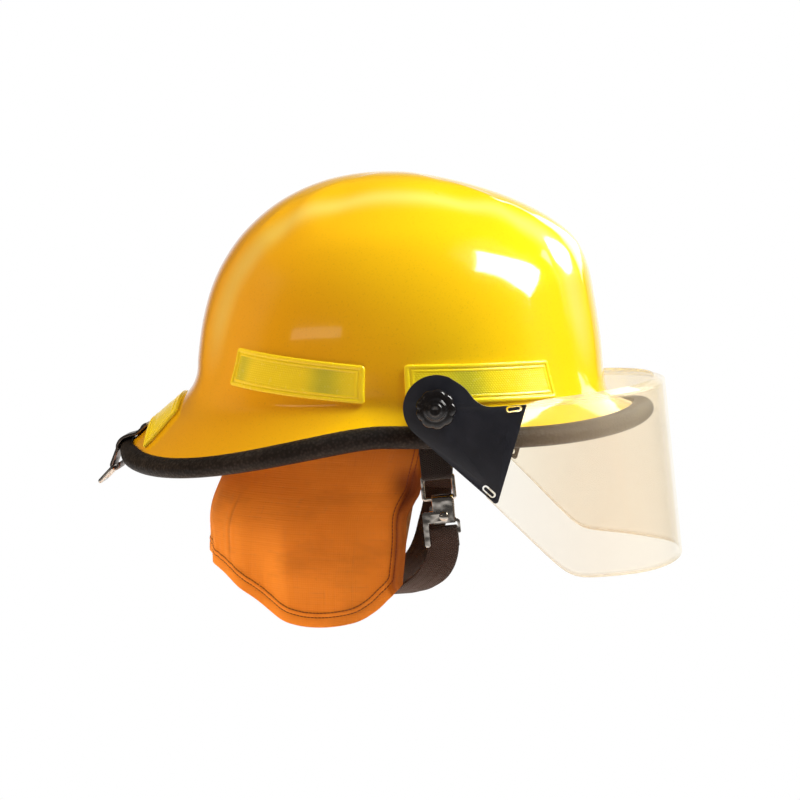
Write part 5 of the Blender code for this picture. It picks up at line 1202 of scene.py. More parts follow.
def curtainRelief(points, distance, around):  # how far the cloth stands out, its hem, and its painted shade
    form, dip = curtainForm, curtainForm["dent"]
    x, z = points[..., 0], points[..., 2]
    hem = 1.0 - smoothStep(form["hemWidth"] - 0.9, form["hemWidth"] + 0.3, distance)
    sink, wide = form["groove"]
    sunk = sum(bell(distance, line, wide) for line in form["stitchLines"])
    seamGap = np.where(x < form["seamX"], np.abs(np.abs(points[..., 1]) - form["seamY"]), 99.0)
    seam = 1.0 - smoothStep(*form["seamWide"], seamGap)
    seamLine = bell(seamGap, 0.0, form["seamLine"])
    # height band where the seam shows; it also limits the seam's painted shade
    worn = smoothStep(*form["seamOver"][0], z) * smoothStep(*form["seamOver"][1], z)
    pucker = sum(deep * np.sin(around * 2 * np.pi / pitch + shift) for deep, pitch, shift in form["puckers"])
    pucker = pucker * np.exp(-(distance - form["hemWidth"]) ** 2 / form["puckerFade"])
    rough = 0.5 + 0.9 * smoothStep(*form["roughOver"], x)
    fromEdge = np.minimum(*[nearestDistance(points, points[column]) for column in (0, -1)])
    low = smoothStep(*form["rollOver"], z)
    roll = sum(high * bell(fromEdge, place, width) for high, place, width in form["roll"])
    dent = np.exp(-((x - dip["x"]) / dip["wide"]) ** 2 - ((z - dip["z"]) / dip["tall"]) ** 2)
    lift = form["hemExtra"] * hem - sink * sunk * hem + form["puckerHigh"] * pucker * rough
    lift = lift + (form["seamRise"] * seam - form["seamSink"] * seamLine) * worn
    lift = lift + roll * low - dip["deep"] * dent
    below = smoothStep(*form["flatAbove"], z)
    sag = sum(deep * np.sin(z * byHeight + around * byLength) for deep, byHeight, byLength in form["sag"])
    lift = lift * below + sag * below * smoothStep(*form["sagFrom"], distance)
    # painted shade: darker on the rolled front edge and its crease, inward from the edge, under the brim, in
    # the dent and along the seam
    level, start, end = form["edgeShade"]
    shade = level * (1.0 - smoothStep(start, end, fromEdge))
    level, place, width = form["creaseShade"]
    shade = (shade + level * bell(fromEdge, place, width)) * low
    level, start, width = form["sideShade"]
    shade = shade + level * bell(np.maximum(fromEdge - start, 0.0), 0.0, width) * (1.0 - low * 0.3)
    level, start, end = form["brimShade"]
    shade = shade + dip["shade"] * dent + level * smoothStep(start, end, z)
    shade = shade + form["seamShade"] * seamLine * worn
    return lift, hem * below, np.clip(shade, 0.0, form["shadeMost"])


def makeCurtain():
    form = curtainForm
    share, drop = curtainGrid()
    points, outward = curtainSpot(share, drop)
    distance = nearestDistance(points, hemBoundary(points))
    around = routeLengths(points[:, drop.size * 2 // 3])[:, None]
    lift, hem, shade = curtainRelief(points, distance, around)
    outer = points + outward * lift[..., None]
    inFrom = np.minimum(distance / form["edgeRound"], 1.0)
    rounded = np.sqrt(np.clip(1.0 - (1.0 - inFrom) ** 2, 0.02, 1.0))
    thick = (form["thick"] + form["hemExtra"] * form["hemThick"] * hem) * rounded
    inner = outer - outward * thick[..., None]
    rings = np.concatenate((outer, inner[:, ::-1]), axis=1)
    grid = np.stack(np.broadcast_arrays(around, -points[..., 2]), axis=2)
    uv = np.concatenate((grid, grid[:, ::-1], grid[:, :1]), axis=1)
    mesh = skin("neckCurtain", rings, capped=True, uv=uv)
    marks = np.concatenate((outer, inner), axis=1).reshape(-1, 3)
    # the second attribute carries the painted shade
    for title, values in (("hemDistance", distance), ("paintedShade", shade)):
        markField(mesh, marks, np.concatenate((values, values), axis=1).ravel(), title)
    curtain = addPiece("neckCurtain", mesh, "helmet", curtainCloth, ["neck_curtain"],
                       sharp=80.0)
    bottom = np.linalg.norm(np.diff(outer[:, -1], axis=0), axis=1).sum()
    height = np.linalg.norm(np.diff(outer, axis=1), axis=2).sum(axis=1).max()
    corner = outer[:-1, :-1]
    cells = np.linalg.norm(np.cross(outer[1:, :-1] - corner, outer[:-1, 1:] - corner), axis=2)
    return curtain, (bottom * mm, height * mm, float(cells.sum()) * mm * mm), points, distance, outward


curtain, curtainCut, curtainPoints, hemDistance, curtainOut = makeCurtain()
print("curtain made: hem %.3f m, height %.3f m, area %.4f m2" % curtainCut)


# face shield, brackets and pivots
shieldForm = {
    "thick": 2.0,
    "springX": 58.0,
    "full": 2.4,
    "topX": 176.8,
    "lowX": 189.0,
    "topZ": 28.7,
    "lowZ": -86.0,
    "sideDip": 2.6,
    "rearTop": (80.0, 20.3),
    "rearLow": (65.0, -36.4),
    "cornerX": 118.5,
    "cornerBlend": 4.0,
    "lip": 5.0,
    "lipRise": 2.2,
    "lipStart": 0.16,
    "lipEnd": 0.4,
    "rimLow": (0.985, 1.0),  # shares of the drop and the sweep that get its painted bright edge
    "rimTop": (0.02, 0.0),
    "rimRear": (0.993, 1.0),
    "columns": 64,
    "rows": 36,
    "tabProud": 1.2,
    "tabSunk": 0.28,
    "tabPlay": 0.9,
    "tabRim": 1.3,
}
bracketForm = {
    "thick": 3.0,
    "round": 21.0,
    "roundFrom": 68.0,
    "edge": 1.1,
    "crest": [(17.5, 13.0), (24.5, 5.0), (31.0, 1.6), (42.0, 1.8), (56.5, 2.8)],
    "heel": (37.6, -59.4),
    "heelRound": [(-2.6, 1.4), (-1.7, 0.5), (-0.6, 0.0), (0.5, 0.25), (1.2, 0.9)],
    "slots": [(48.5, 0.2, 8.0), (33.0, -52.0, -42.0)],
    "slotLength": 10.0,
    "slotWidth": 4.2,
    "bolt": 3.3,
}
pivot = {"x": 34.0, "z": 19.4}
bracketY = -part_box("shield_bracket_right")[1].y / mm


def lensSpot(share, drop):
    form = shieldForm
    share, drop = paired(share, drop)
    fromNose = np.abs(share)
    rearX = form["rearTop"][0] + (form["rearLow"][0] - form["rearTop"][0]) * drop
    span = form["topX"] + (form["lowX"] - form["topX"]) * drop - form["springX"]
    angle = np.arccos(((rearX - form["springX"]) / span) ** (form["full"] / 2)) * fromNose
    x = form["springX"] + span * np.cos(angle) ** (2 / form["full"])
    y = (bracketY - clearance) * np.sin(angle) ** (2 / form["full"])
    top = form["topZ"] + (form["rearTop"][1] - form["topZ"]) * fromNose ** 2
    floor = form["lowZ"] - form["sideDip"] * smoothStep(0.0, 0.5, fromNose)
    reach = (x - form["rearLow"][0]) / (form["cornerX"] - form["rearLow"][0])
    diagonal = form["rearLow"][1] + (floor - form["rearLow"][1]) * reach
    low = floor + form["cornerBlend"] * np.log1p(np.exp((diagonal - floor) / form["cornerBlend"]))
    return np.stack((x, np.copysign(y, share), top + (low - top) * drop), axis=-1)


def lensInward(share, drop):
    inner = np.clip(share, -0.996, 0.996)
    along = lensSpot(inner + 0.004, drop) - lensSpot(inner - 0.004, drop)
    level = unit(along * (1.0, 1.0, 0.0))
    return np.stack((-level[..., 1], level[..., 0], 0.0 * level[..., 0]), axis=-1)


def slotOutline(centre, length, width, turn, count=12):
    half = (length - width) / 2
    lean = math.radians(turn)
    reach = np.array((half * math.cos(lean), half * math.sin(lean)))
    head = arc(np.add(centre, reach), width / 2, turn + 90, turn - 90, count)
    tail = arc(np.subtract(centre, reach), width / 2, turn - 90, turn - 270, count)
    return np.vstack((head, tail))


def tabRing(outline, y):
    return [(pivot["x"] + p, y, pivot["z"] + q) for p, q in outline]


def tabSolids(sign):  # the two tabs with their eyelets, and a dark plug behind each eyelet as painted shade in the slot
    form, slots = shieldForm, bracketForm
    start, end = bracketY - form["tabSunk"], bracketY + slots["thick"] + form["tabProud"]
    length, width = slots["slotLength"] - form["tabPlay"], slots["slotWidth"] - form["tabPlay"]
    tabLevels = [(start, 0.0), (end - 0.35, 0.0), (end - 0.1, 0.15), (end, 0.35), (end, 0.75),
                 (end - 0.12, 1.0), (end - 1.8, 1.0)]
    shadePlugLevels = [(end - 1.78, 1.05), (end - 0.6, 1.05)]
    tabs, shadePlugs = [], []
    for x, z, turn in slots["slots"]:
        rim = slotOutline((x, z), length, width, turn)
        eyelet = slotOutline((x, z), length - form["tabRim"], width - form["tabRim"], turn)
        for solids, levels in ((tabs, tabLevels), (shadePlugs, shadePlugLevels)):
            solids.append([tabRing(rim + (eyelet - rim) * share, sign * y) for y, share in levels])
    return tabs, shadePlugs


def makeShield():
    form = shieldForm
    half = np.sin(np.pi / 2 * np.linspace(0.0, 1.0, form["columns"] + 1))
    share = np.concatenate((-half[::-1], half[1:]))[:, None]
    drop = np.linspace(0.0, 1.0, form["rows"] + 1)[None, :]
    outer = lensSpot(share, drop)
    inner = outer + lensInward(share, drop) * form["thick"]
    lip = form["lip"] * smoothStep(0.0, form["lipStart"], 1.0 - np.abs(share)) + form["lipEnd"]
    rise = form["lipRise"] * lip / form["lip"]
    inward = lensInward(share, np.zeros_like(share))
    lipRings = []
    for part in (0.35, 0.7, 1.0):
        lipRings.append(outer[:, :1] + inward * ((form["thick"] + lip) * part)[..., None]
                        + np.stack((0 * rise, 0 * rise, rise * part), axis=-1))
    under = np.array((0.0, 0.0, -form["thick"]))
    low = [lipRings[2] + under, lipRings[1] + under, inner[:, :1] + under]
    rings = np.concatenate([outer[:, ::-1]] + lipRings + low + [inner[:, 1:]], axis=1)
    mesh = skin("faceShield", rings, capped=True)
    across = np.concatenate((drop[:, ::-1], np.zeros((1, 6)), drop[:, 1:]), axis=1)
    # the edge band gets the painted bright edge in the finish
    edge = np.maximum(smoothStep(*form["rimLow"], across), smoothStep(*form["rimTop"], across))
    edge = np.maximum(edge, smoothStep(*form["rimRear"], np.abs(share)))
    markField(mesh, rings.reshape(-1, 3), np.broadcast_to(edge, rings.shape[:2]).ravel(), "rimGlintShare")
    shape, shadePlugs = bmesh.new(), bmesh.new()
    shape.from_mesh(mesh)
    for sign in cheeks.values():
        for pile, solids in zip((shape, shadePlugs), tabSolids(sign)):
            for solid in solids:
                tab = skin("shieldTab", solid, capped=True)
                pile.from_mesh(tab)
                bpy.data.meshes.remove(tab)
    # dark plugs stand in for the shade inside the bracket's slots
    shadePlugMesh = bpy.data.meshes.new("tabShadePlugs")
    shadePlugs.to_mesh(shadePlugMesh)
    shadePlugs.free()
    addPiece("tabShadePlugs", shadePlugMesh, "visor", bracketBlack)
    shape.to_mesh(mesh)
    shape.free()
    addPiece("faceShield", mesh, "visor", shieldClear, ["face_shield"], sharp=40.0)


def bracketOutline():
    form = bracketForm
    heel = Vector(form["heel"])
    lean = math.degrees(math.atan2(-heel.y, -heel.x))
    touch = lean + math.degrees(math.asin(form["round"] / heel.length)) + 90.0
    roundEnd = arc((0.0, 0.0), form["round"], form["roundFrom"], touch, 60)
    crest = smoothRoute(np.vstack((roundEnd[:1], form["crest"])), 60)[:0:-1]
    return np.vstack((crest, roundEnd, np.array(form["heelRound"]) + form["heel"]))


def makeBrackets():
    form = bracketForm
    holes = [arc((0.0, 0.0), form["bolt"], 350.0, 0.0, 36)]
    for x, z, turn in form["slots"]:
        holes.append(slotOutline((x, z), form["slotLength"], form["slotWidth"], turn))
    for side, sign in cheeks.items():
        middle = Vector((pivot["x"], sign * (bracketY + form["thick"] / 2), pivot["z"])) * mm
        matrix = Matrix.Translation(middle) @ Matrix.Rotation(math.radians(90.0), 4, "X")
        name = "shieldBracket" + side.capitalize()
        mesh = plateMesh(name, [bracketOutline()] + holes, form["thick"], matrix, form["edge"])
        addPiece(name, mesh, "visor", bracketBlack, ["shield_bracket_" + side], sharp=35.0)


knobForm = {"radius": 12.3, "scallop": 0.6, "lobes": 9, "height": 6.5, "boss": 6.8, "bossHigh": 2.2,
            "hub": 4.3, "hubHigh": 1.4, "bore": 3.3, "boreDeep": 5.0, "dimple": 0.6, "washer": 1.8}


def makeKnobs():
    form = knobForm
    top = form["height"]
    bossTop = top + form["bossHigh"]
    hubTop = bossTop + form["hubHigh"]
    wide, wave, boss, hub = form["radius"], form["scallop"], form["boss"], form["hub"]
    rings = [(0.0, form["boreDeep"]), (form["bore"], form["boreDeep"]), (form["bore"], 0.0),
             (wide - 0.9, 0.0, wave), (wide - 0.3, 0.3, wave), (wide, 1.0, wave), (wide, 2.6, wave),
             (wide - 0.15, top - 2.2, wave), (wide - 0.5, top - 1.3, wave),
             (wide - 1.1, top - 0.6, wave * 0.95), (wide - 1.9, top - 0.2, wave * 0.8),
             (wide - 2.9, top, wave * 0.5), (wide - 4.0, top + 0.02, 0.1), (boss + 0.9, top + 0.05),
             (boss + 0.25, top + 0.3), (boss, top + 0.9), (boss - 0.15, bossTop - 0.6),
             (boss - 0.45, bossTop - 0.15), (boss - 1.0, bossTop), (hub + 0.3, bossTop), (hub, bossTop + 0.2),
             (hub - 0.15, hubTop - 0.4), (hub - 0.5, hubTop - 0.08), (hub - 1.1, hubTop), (2.0, hubTop),
             (1.6, hubTop - 0.15), (1.0, hubTop - form["dimple"]), (0.0, hubTop - form["dimple"] - 0.15)]
    seat = bracketY + bracketForm["thick"] + form["washer"]
    for side, sign in cheeks.items():
        centre = (pivot["x"], sign * seat, pivot["z"])
        mesh = turnedMesh("pivotKnob", rings, centre, (0.0, sign, 0.0), 128, form["lobes"])
        addPiece("pivotKnob" + side.capitalize(), mesh, "knob_" + side, knobBlack,
                 ["pivot_knob_" + side], sharp=60.0)


makeShield()
makeBrackets()
makeKnobs()
print("shield, brackets and knobs made")

# chin strap and its hardware
strapForm = {"width": 19.0, "thick": 1.8, "aboveBolt": 11.0, "lean": 2.5, "lap": 15.0, "edge": 0.75,
             "step": 0.8, "boltHead": 8.0, "boltHole": 3.3, "holeLong": 12.0, "sewnHalf": 7.8,
             "sewn": (-3.4, -12.6)}
ringForm = {"x": {"right": 32.0, "left": 20.0}, "tilt": {"right": 6.0, "left": -3.0}, "z": -25.3,
            "wire": 1.25, "half": 11.3, "height": 17.0, "corner": 2.4}
snapForm = {"thick": 1.8, "width": 13.0, "across": 2.0, "end": 31.5, "lip": 5.0, "rivetDown": 27.0,
            "rivet": 1.5, "rivetHead": 3.0, "rivetHeadThick": 1.2, "frameThick": 1.6, "leverThick": 1.0,
            "frame": [(-7.0, -28.5), (-11.6, -30.5), (-11.6, -38.6), (11.6, -38.6), (11.6, -30.5),
                      (9.0, -28.5), (9.0, -20.5), (-7.0, -20.5)],
            "window": [(-9.9, -36.0), (9.9, -36.0), (9.9, -31.3), (-9.9, -31.3)],
            "leverLeft": 11.7, "leverLow": 45.0, "leverRound": 3.6}
chinForm = {"tail": 47.0, "straight": 41.0, "windowEnd": 36.0,
            "route": [(36.5, -102.0, -72.5), (34.0, -99.5, -82.0), (29.0, -95.0, -90.0), (22.0, -88.5, -96.5),
                      (12.5, -79.0, -102.5), (3.5, -62.0, -107.5), (-3.0, -38.0, -110.5), (-4.0, 0.0, -111.5),
                      (0.5, 40.0, -108.5), (5.5, 62.0, -104.0), (10.0, 75.0, -98.0), (13.0, 83.0, -90.0),
                      (15.0, 88.5, -81.0), (17.0, 93.5, -72.5), (18.2, 98.0, -65.0)]}


def wallY(x, z, inset):
    phi = phiAt(x, z)
    place = placeAtHeight(phi, z)
    return (dome(phi, place, False)[..., 1] - inset / domeNormal(phi, place, False)[..., 1])[0]


strapY = wallY(pivot["x"] + strapForm["width"] / 2 + strapForm["lean"], pivot["z"] + strapForm["aboveBolt"],
               shellForm["wall"]) - 0.6 - strapForm["thick"] / 2
strapLoop = ringForm["wire"] + clearance + strapForm["thick"] / 2
strapEdge = stripSection(strapForm["width"], strapForm["thick"], strapForm["edge"])


def addSteel(name, mesh, node, sharp=50.0, body="helmet"):
    addPiece(name, mesh, body, brightSteel, [node], sharp=sharp)


def wireLoop(half, height, corner):
    return roundedLoop([(-half, 0.0), (half, 0.0), (half, height), (-half, height)], corner, 10)


def cheekFrame(side):
    lean = math.radians(ringForm["tilt"][side])
    sign = cheeks[side]
    return {"sign": sign, "wide": np.array((math.cos(lean), 0.0, math.sin(lean))),
            "down": np.array((math.sin(lean), 0.0, -math.cos(lean))), "out": np.array((0.0, sign, 0.0)),
            "origin": np.array((ringForm["x"][side], sign * (strapY - strapLoop), ringForm["z"]))}


def cheekAt(cheek, wide, out, down):
    return cheek["origin"] + cheek["wide"] * wide + cheek["out"] * out + cheek["down"] * down


def cheekMatrix(cheek, place):
    columns = [Vector(cheek["wide"]), Vector(-cheek["down"])]
    columns.append(columns[0].cross(columns[1]))
    turn = Matrix([[column[i] for column in columns] for i in range(3)]).to_4x4()
    return Matrix.Translation(Vector(place) * mm) @ turn


def alongStrap(points, across, step):  # even route with its width directions carried along
    points, across = np.asarray(points, float), np.asarray(across, float)
    route = evenRoute(points, step)
    lengths, marks = routeLengths(points), routeLengths(route)
    marks = marks * lengths[-1] / marks[-1]
    return route, unit(np.stack([np.interp(marks, lengths, across[:, axis]) for axis in range(3)], axis=1))


def makeUpperStrap(side, cheek):
    bolt = np.array((pivot["x"], cheek["sign"] * strapY, pivot["z"]))
    lapTop = cheekAt(cheek, 0.0, strapLoop, -strapForm["lap"])
    run = unit(lapTop - bolt)
    upper = [bolt - run * strapForm["aboveBolt"], bolt, bolt + run * strapForm["boltHead"]]
    under = [cheekAt(cheek, 0.0, out, down) for out, down in arc((0.0, 0.0), strapLoop, 0.0, 180.0, 15)]
    tail = [cheekAt(cheek, 0.0, -strapLoop, -strapForm["lap"])]
    points = upper + [lapTop] + under + tail
    across = [np.array((-run[2], 0.0, run[0]))] * 3 + [cheek["wide"]] * (len(points) - 3)
    across = [way * (1.0 if way @ cheek["wide"] > 0 else -1.0) for way in across]
    route, ways = alongStrap(points, across, strapForm["step"])
    name = "upperStrap" + side.capitalize()
    mesh = strapMesh(name, route, ways, strapEdge)
    mesh = cutHole(mesh, bolt, (0.0, 1.0, 0.0), strapForm["boltHole"], strapForm["holeLong"], 32)
    # upper straps in the darker webbing, painted shade under the brim
    addPiece(name, mesh, "helmet", shadedCheekWebbing, ["upper_strap_" + side])
    makeStrapRing(side, cheek)
    return [np.array([cheekAt(cheek, wide, strapLoop + strapForm["thick"] / 2, down) for wide, down in row])
            for row in sewnBox()]


def sewnBox():  # four rows of stitches that hold the strap's lap
    half, (low, high) = strapForm["sewnHalf"], strapForm["sewn"]
    rows = [[(wide, down) for wide in np.linspace(-half, half, 9)] for down in (low, high)]
    return rows + [[(wide, down) for down in np.linspace(high, low, 6)] for wide in (-half, half)]


def makeStrapRing(side, cheek):
    form = ringForm
    outline = wireLoop(form["half"], form["height"], form["corner"])
    loop = [cheekAt(cheek, wide, 0.0, down) for wide, down in outline]
    ring = wireMesh("strapRing", loop, form["wire"], cheek["out"])
    addSteel("strapRing" + side.capitalize(), ring, "strap_ring_" + side)


def makeSnap(cheek):
    form = snapForm
    reach = ringForm["wire"] + clearance + form["thick"] / 2
    frameOut = reach - form["thick"] / 2 - clearance - form["frameThick"] / 2
    leverOut = reach + form["thick"] / 2 + clearance + form["leverThick"] / 2
    bore = form["rivet"] + clearance
    makeSnapHook(cheek, reach, bore)
    makeStrapFrame(cheek, frameOut, bore)
    makeSnapLever(cheek, leverOut, bore)
    makeSnapRivet(cheek, frameOut, leverOut)
    return frameOut


def makeSnapHook(cheek, reach, bore):
    form = snapForm
    height = ringForm["height"]
    path = [(reach, form["end"]), (reach, (form["end"] + height) / 2)]
    path += [tuple(point) for point in arc((0.0, height), reach, 0.0, -180.0, 17)]
    path.append((-reach, height + form["lip"]))
    route = evenRoute([cheekAt(cheek, form["across"], out, down) for out, down in path], 0.5)
    mesh = strapMesh("snapHook", route, cheek["wide"], stripSection(form["width"], form["thick"], 0.55))
    spot = cheekAt(cheek, form["across"], reach, form["rivetDown"])
    mesh = cutHole(mesh, spot, cheek["out"], bore, 2.5 * form["thick"], 32)
    addSteel("snapHook", mesh, "snap_hook")


def makeStrapFrame(cheek, frameOut, bore):
    form = snapForm
    hole = arc((form["across"], -form["rivetDown"]), bore, 345.0, 0.0, 24)
    outlines = [roundedLoop(form["frame"], 0.95), roundedLoop(form["window"], 0.9)[::-1], hole]
    matrix = cheekMatrix(cheek, cheekAt(cheek, 0.0, frameOut, 0.0))
    mesh = plateMesh("strapFrame", outlines, form["frameThick"], matrix, 0.4)
    addSteel("strapFrame", mesh, "strap_frame", 35.0)


def makeSnapLever(cheek, leverOut, bore):
    form = snapForm
    left, low = -form["across"] - form["leverLeft"], form["rivetDown"] - form["leverLow"]
    tongue = [(left + 1.5, 3.6), (left + 0.4, 3.1), (left, 1.6), (left, low + 1.0), (left + 0.6, low - 0.8),
              (left + 1.9, low - 0.9), (left + 3.4, low), (left + 3.4, -4.6), (left + 3.7, -3.9),
              (left + 4.4, -3.6)]
    outline = np.vstack((arc((0.0, 0.0), form["leverRound"], -100.0, 80.0, 24), tongue))
    spin = cheekAt(cheek, form["across"], leverOut, form["rivetDown"])
    eye = arc((0.0, 0.0), bore, 345.0, 0.0, 24)
    mesh = plateMesh("snapLever", [outline, eye], form["leverThick"], cheekMatrix(cheek, spin), 0.3)
    addSteel("snapLever", mesh, "snap_lever", 35.0, "lever")


def makeSnapRivet(cheek, frameOut, leverOut):
    form = snapForm
    head, headThick, shank = form["rivetHead"], form["rivetHeadThick"], form["rivet"]
    back = frameOut - form["frameThick"] / 2 - clearance - headThick
    front = leverOut + form["leverThick"] / 2 + clearance - back
    profile = [(0.0, front + 1.2), (1.0, front + 1.12), (1.9, front + 0.9), (2.6, front + 0.5),
               (head, front + 0.1), (head - 0.1, front), (shank, front), (shank, headThick),
               (head, headThick), (head, 0.4), (head - 0.4, 0.0), (0.0, 0.0)]
    place = cheekAt(cheek, form["across"], back, form["rivetDown"])
    mesh = turnedMesh("snapRivet", profile, place, cheek["out"], 40)
    addSteel("snapRivet", mesh, "snap_rivet", 40.0)


def makeChinStrap(right, left, frameOut):
    form = chinForm
    fold = snapForm["frameThick"] / 2 + clearance + strapForm["thick"] / 2
    crest = form["windowEnd"] + clearance
    lap = strapForm["lap"]
    height = ringForm["height"]
    start = [cheekAt(right, 0.0, frameOut - fold, form["tail"])]
    start += [cheekAt(right, 0.0, out, down) for out, down in arc((frameOut, crest), fold, 180.0, 360.0, 15)]
    finish = [cheekAt(left, 0.0, strapLoop, height + lap)]
    finish += [cheekAt(left, 0.0, out, down) for out, down in arc((0.0, height), strapLoop, 360.0, 180.0, 15)]
    finish += [cheekAt(left, 0.0, -strapLoop, height + lap)]
    leave = cheekAt(right, 0.0, frameOut + fold, form["straight"])
    free = smoothRoute([leave] + form["route"] + [finish[0]], 140)
    points = np.vstack((start, free[:-1], finish))
    share = smoothStep(0.1, 0.9, routeLengths(points) / routeLengths(points)[-1])[:, None]
    route, ways = alongStrap(points, right["wide"] * (1.0 - share) + left["wide"] * share, strapForm["step"])
    mesh = strapMesh("chinStrap", route, ways, strapEdge)
    addPiece("chinStrap", mesh, "helmet", strapWebbing, ["chin_strap"])


rightCheek, leftCheek = cheekFrame("right"), cheekFrame("left")
strapRows = makeUpperStrap("right", rightCheek) + makeUpperStrap("left", leftCheek)
makeChinStrap(rightCheek, leftCheek, makeSnap(rightCheek))
print("chin strap made")

# rear hanger
hangerForm = {"width": 22.0, "thick": 1.2, "start": 10.87, "end": 11.38, "wrap": (118.0, 30.0),
              "curl": (165.0, 400.0), "rivet": 11.1, "knuckle": (-8.5, -13.0), "wire": 1.5, "half": 13.6,
              "reach": 17.0, "angle": 227.0, "corner": 3.2, "shank": 1.5, "headThick": 1.2, "hole": 9.0}


def makeHanger():
    form = hangerForm
    middle, outward, normal = [part[0] for part in trimFrame(np.array([np.pi]))]
    lift = clearance + form["thick"] / 2
    route = list(domeOff(np.pi, np.linspace(form["start"], form["end"], 6), lift))
    for angle in np.radians(np.linspace(*form["wrap"], 10)):
        spot = middle + outward * ((edgeTrim["length"] / 2 + lift) * math.cos(angle))
        route.append(spot + normal * ((edgeTrim["thick"] / 2 + lift) * math.sin(angle)))
    knuckle = middle + (form["knuckle"][0], 0.0, form["knuckle"][1])
    curl = form["wire"] + clearance + form["thick"] / 2
    route += [np.array((x, 0.0, z)) for x, z in arc((knuckle[0], knuckle[2]), curl, *form["curl"], 24)]
    route = evenRoute(route, 0.6)
    mesh = strapMesh("hangerPlate", route, (0.0, 1.0, 0.0), stripSection(form["width"], form["thick"], 0.45))
    seat = domeOff(np.pi, form["rivet"], 0.0)
    up = domeNormal(np.pi, form["rivet"])
    mesh = cutHole(mesh, seat, up, form["shank"] + clearance, form["hole"], 32)
    addPiece("hangerPlate", mesh, "helmet", hangerSteel, ["hanger_plate"])
    makeHangerRing(knuckle)
    inside = shellForm["wall"] + 2 * clearance + form["headThick"]
    high = inside + form["thick"] + 2 * clearance
    profile = [(0.0, high + 1.5), (1.2, high + 1.4), (2.4, high + 1.0), (3.4, high + 0.4), (3.8, high),
               (form["shank"], high), (form["shank"], form["headThick"]), (3.0, form["headThick"]),
               (3.0, 0.2), (2.8, 0.0), (0.0, 0.0)]
    mesh = turnedMesh("hangerRivet", profile, seat - up * inside, up, 40)
    addSteel("hangerRivet", mesh, "hanger_rivet", 40.0)


def makeHangerRing(knuckle):
    form = hangerForm
    lean = math.radians(form["angle"])
    reach = np.array((math.cos(lean), 0.0, math.sin(lean)))
    along = np.array((0.0, 1.0, 0.0))
    outline = wireLoop(form["half"], form["reach"], form["corner"])
    loop = [knuckle + along * y + reach * far for y, far in outline]
    ring = wireMesh("hangerRing", loop, form["wire"], np.cross(along, reach))
    addSteel("hangerRing", ring, "hanger_ring", body="hanger")


makeHanger()
print("hanger made")


# stitches: one row of thread bodies along each route
stitchForm = {"Stitch Length": 2.1 * mm, "Stitch Gap": 0.35 * mm, "Thread Radius": 0.30 * mm}


def makeStitchTree():
    tree = bpy.data.node_groups.new("stitchRow", "GeometryNodeTree")
    tree.interface.new_socket("Geometry", in_out="INPUT", socket_type="NodeSocketGeometry")
    for name in stitchForm:
        tree.interface.new_socket(name, in_out="INPUT", socket_type="NodeSocketFloat")
    tree.interface.new_socket("Thread", in_out="INPUT", socket_type="NodeSocketMaterial")
    tree.interface.new_socket("Geometry", in_out="OUTPUT", socket_type="NodeSocketGeometry")
    given = addNode(tree, "NodeGroupInput").outputs
    pitch = plusOut(tree, given["Stitch Length"], given["Stitch Gap"])
    row = addNode(tree, "GeometryNodeResampleCurve", {"Curve": given["Geometry"], "Length": pitch},
                  mode="LENGTH")
    way = addNode(tree, "GeometryNodeInputTangent").outputs[0]
    turn = addNode(tree, "FunctionNodeAlignRotationToVector", {"Vector": way}, axis="Z")
    bead = addNode(tree, "GeometryNodeMeshUVSphere", {"Segments": 6, "Rings": 5, "Radius": 1.0})
    thin, half = given["Thread Radius"], timesOut(tree, given["Stitch Length"], 0.5)
    size = addNode(tree, "ShaderNodeCombineXYZ", {"X": thin, "Y": thin, "Z": half})
    shaped = addNode(tree, "GeometryNodeTransform",
                     {"Geometry": bead.outputs["Mesh"], "Scale": size.outputs[0]})
    laid = addNode(tree, "GeometryNodeInstanceOnPoints",
                   {"Points": row.outputs[0], "Instance": shaped.outputs[0], "Rotation": turn.outputs[0]})
    real = addNode(tree, "GeometryNodeRealizeInstances", {0: laid.outputs[0]})
    dyed = addNode(tree, "GeometryNodeSetMaterial",
                   {"Geometry": real.outputs[0], "Material": given["Thread"]})
    addNode(tree, "NodeGroupOutput", {0: dyed.outputs[0]})
    return tree


stitchTree = makeStitchTree()


def sewRows(name, rows, thread):
    curve = bpy.data.curves.new(name, "CURVE")
    curve.dimensions = "3D"
    for row in rows:
        spline = curve.splines.new("POLY")
        spline.points.add(len(row) - 1)
        for knot, point in zip(spline.points, row):
            knot.co = (*(np.asarray(point) * mm), 1.0)
    guide = bpy.data.objects.new(name + "Guide", curve)
    sewing = guide.modifiers.new("stitches", "NODES")
    sewing.node_group = stitchTree
    for socket in stitchTree.interface.items_tree:
        if socket.in_out == "INPUT" and socket.name in stitchForm:
            sewing[socket.identifier] = stitchForm[socket.name]
        if socket.in_out == "INPUT" and socket.name == "Thread":
            sewing[socket.identifier] = thread
    mesh = evaluated(guide)
    return addPiece(name, mesh, "helmet", thread, sharp=80.0)


def curtainRows():  # stitch lines laid on the finished cloth
    tree = BVHTree.FromObject(curtain, bpy.context.evaluated_depsgraph_get())
    rows = []
    for line in curtainForm["stitchLines"]:
        row = []
        for point, out in offsetRoute(line):
            start = (Vector(point) + Vector(out) * 8.0) * mm
            hit = tree.ray_cast(start, -Vector(out), 16.0 * mm)[0]
            if hit is not None:
                row.append(np.array(hit) / mm)
        rows.append(np.array(row))
    return rows


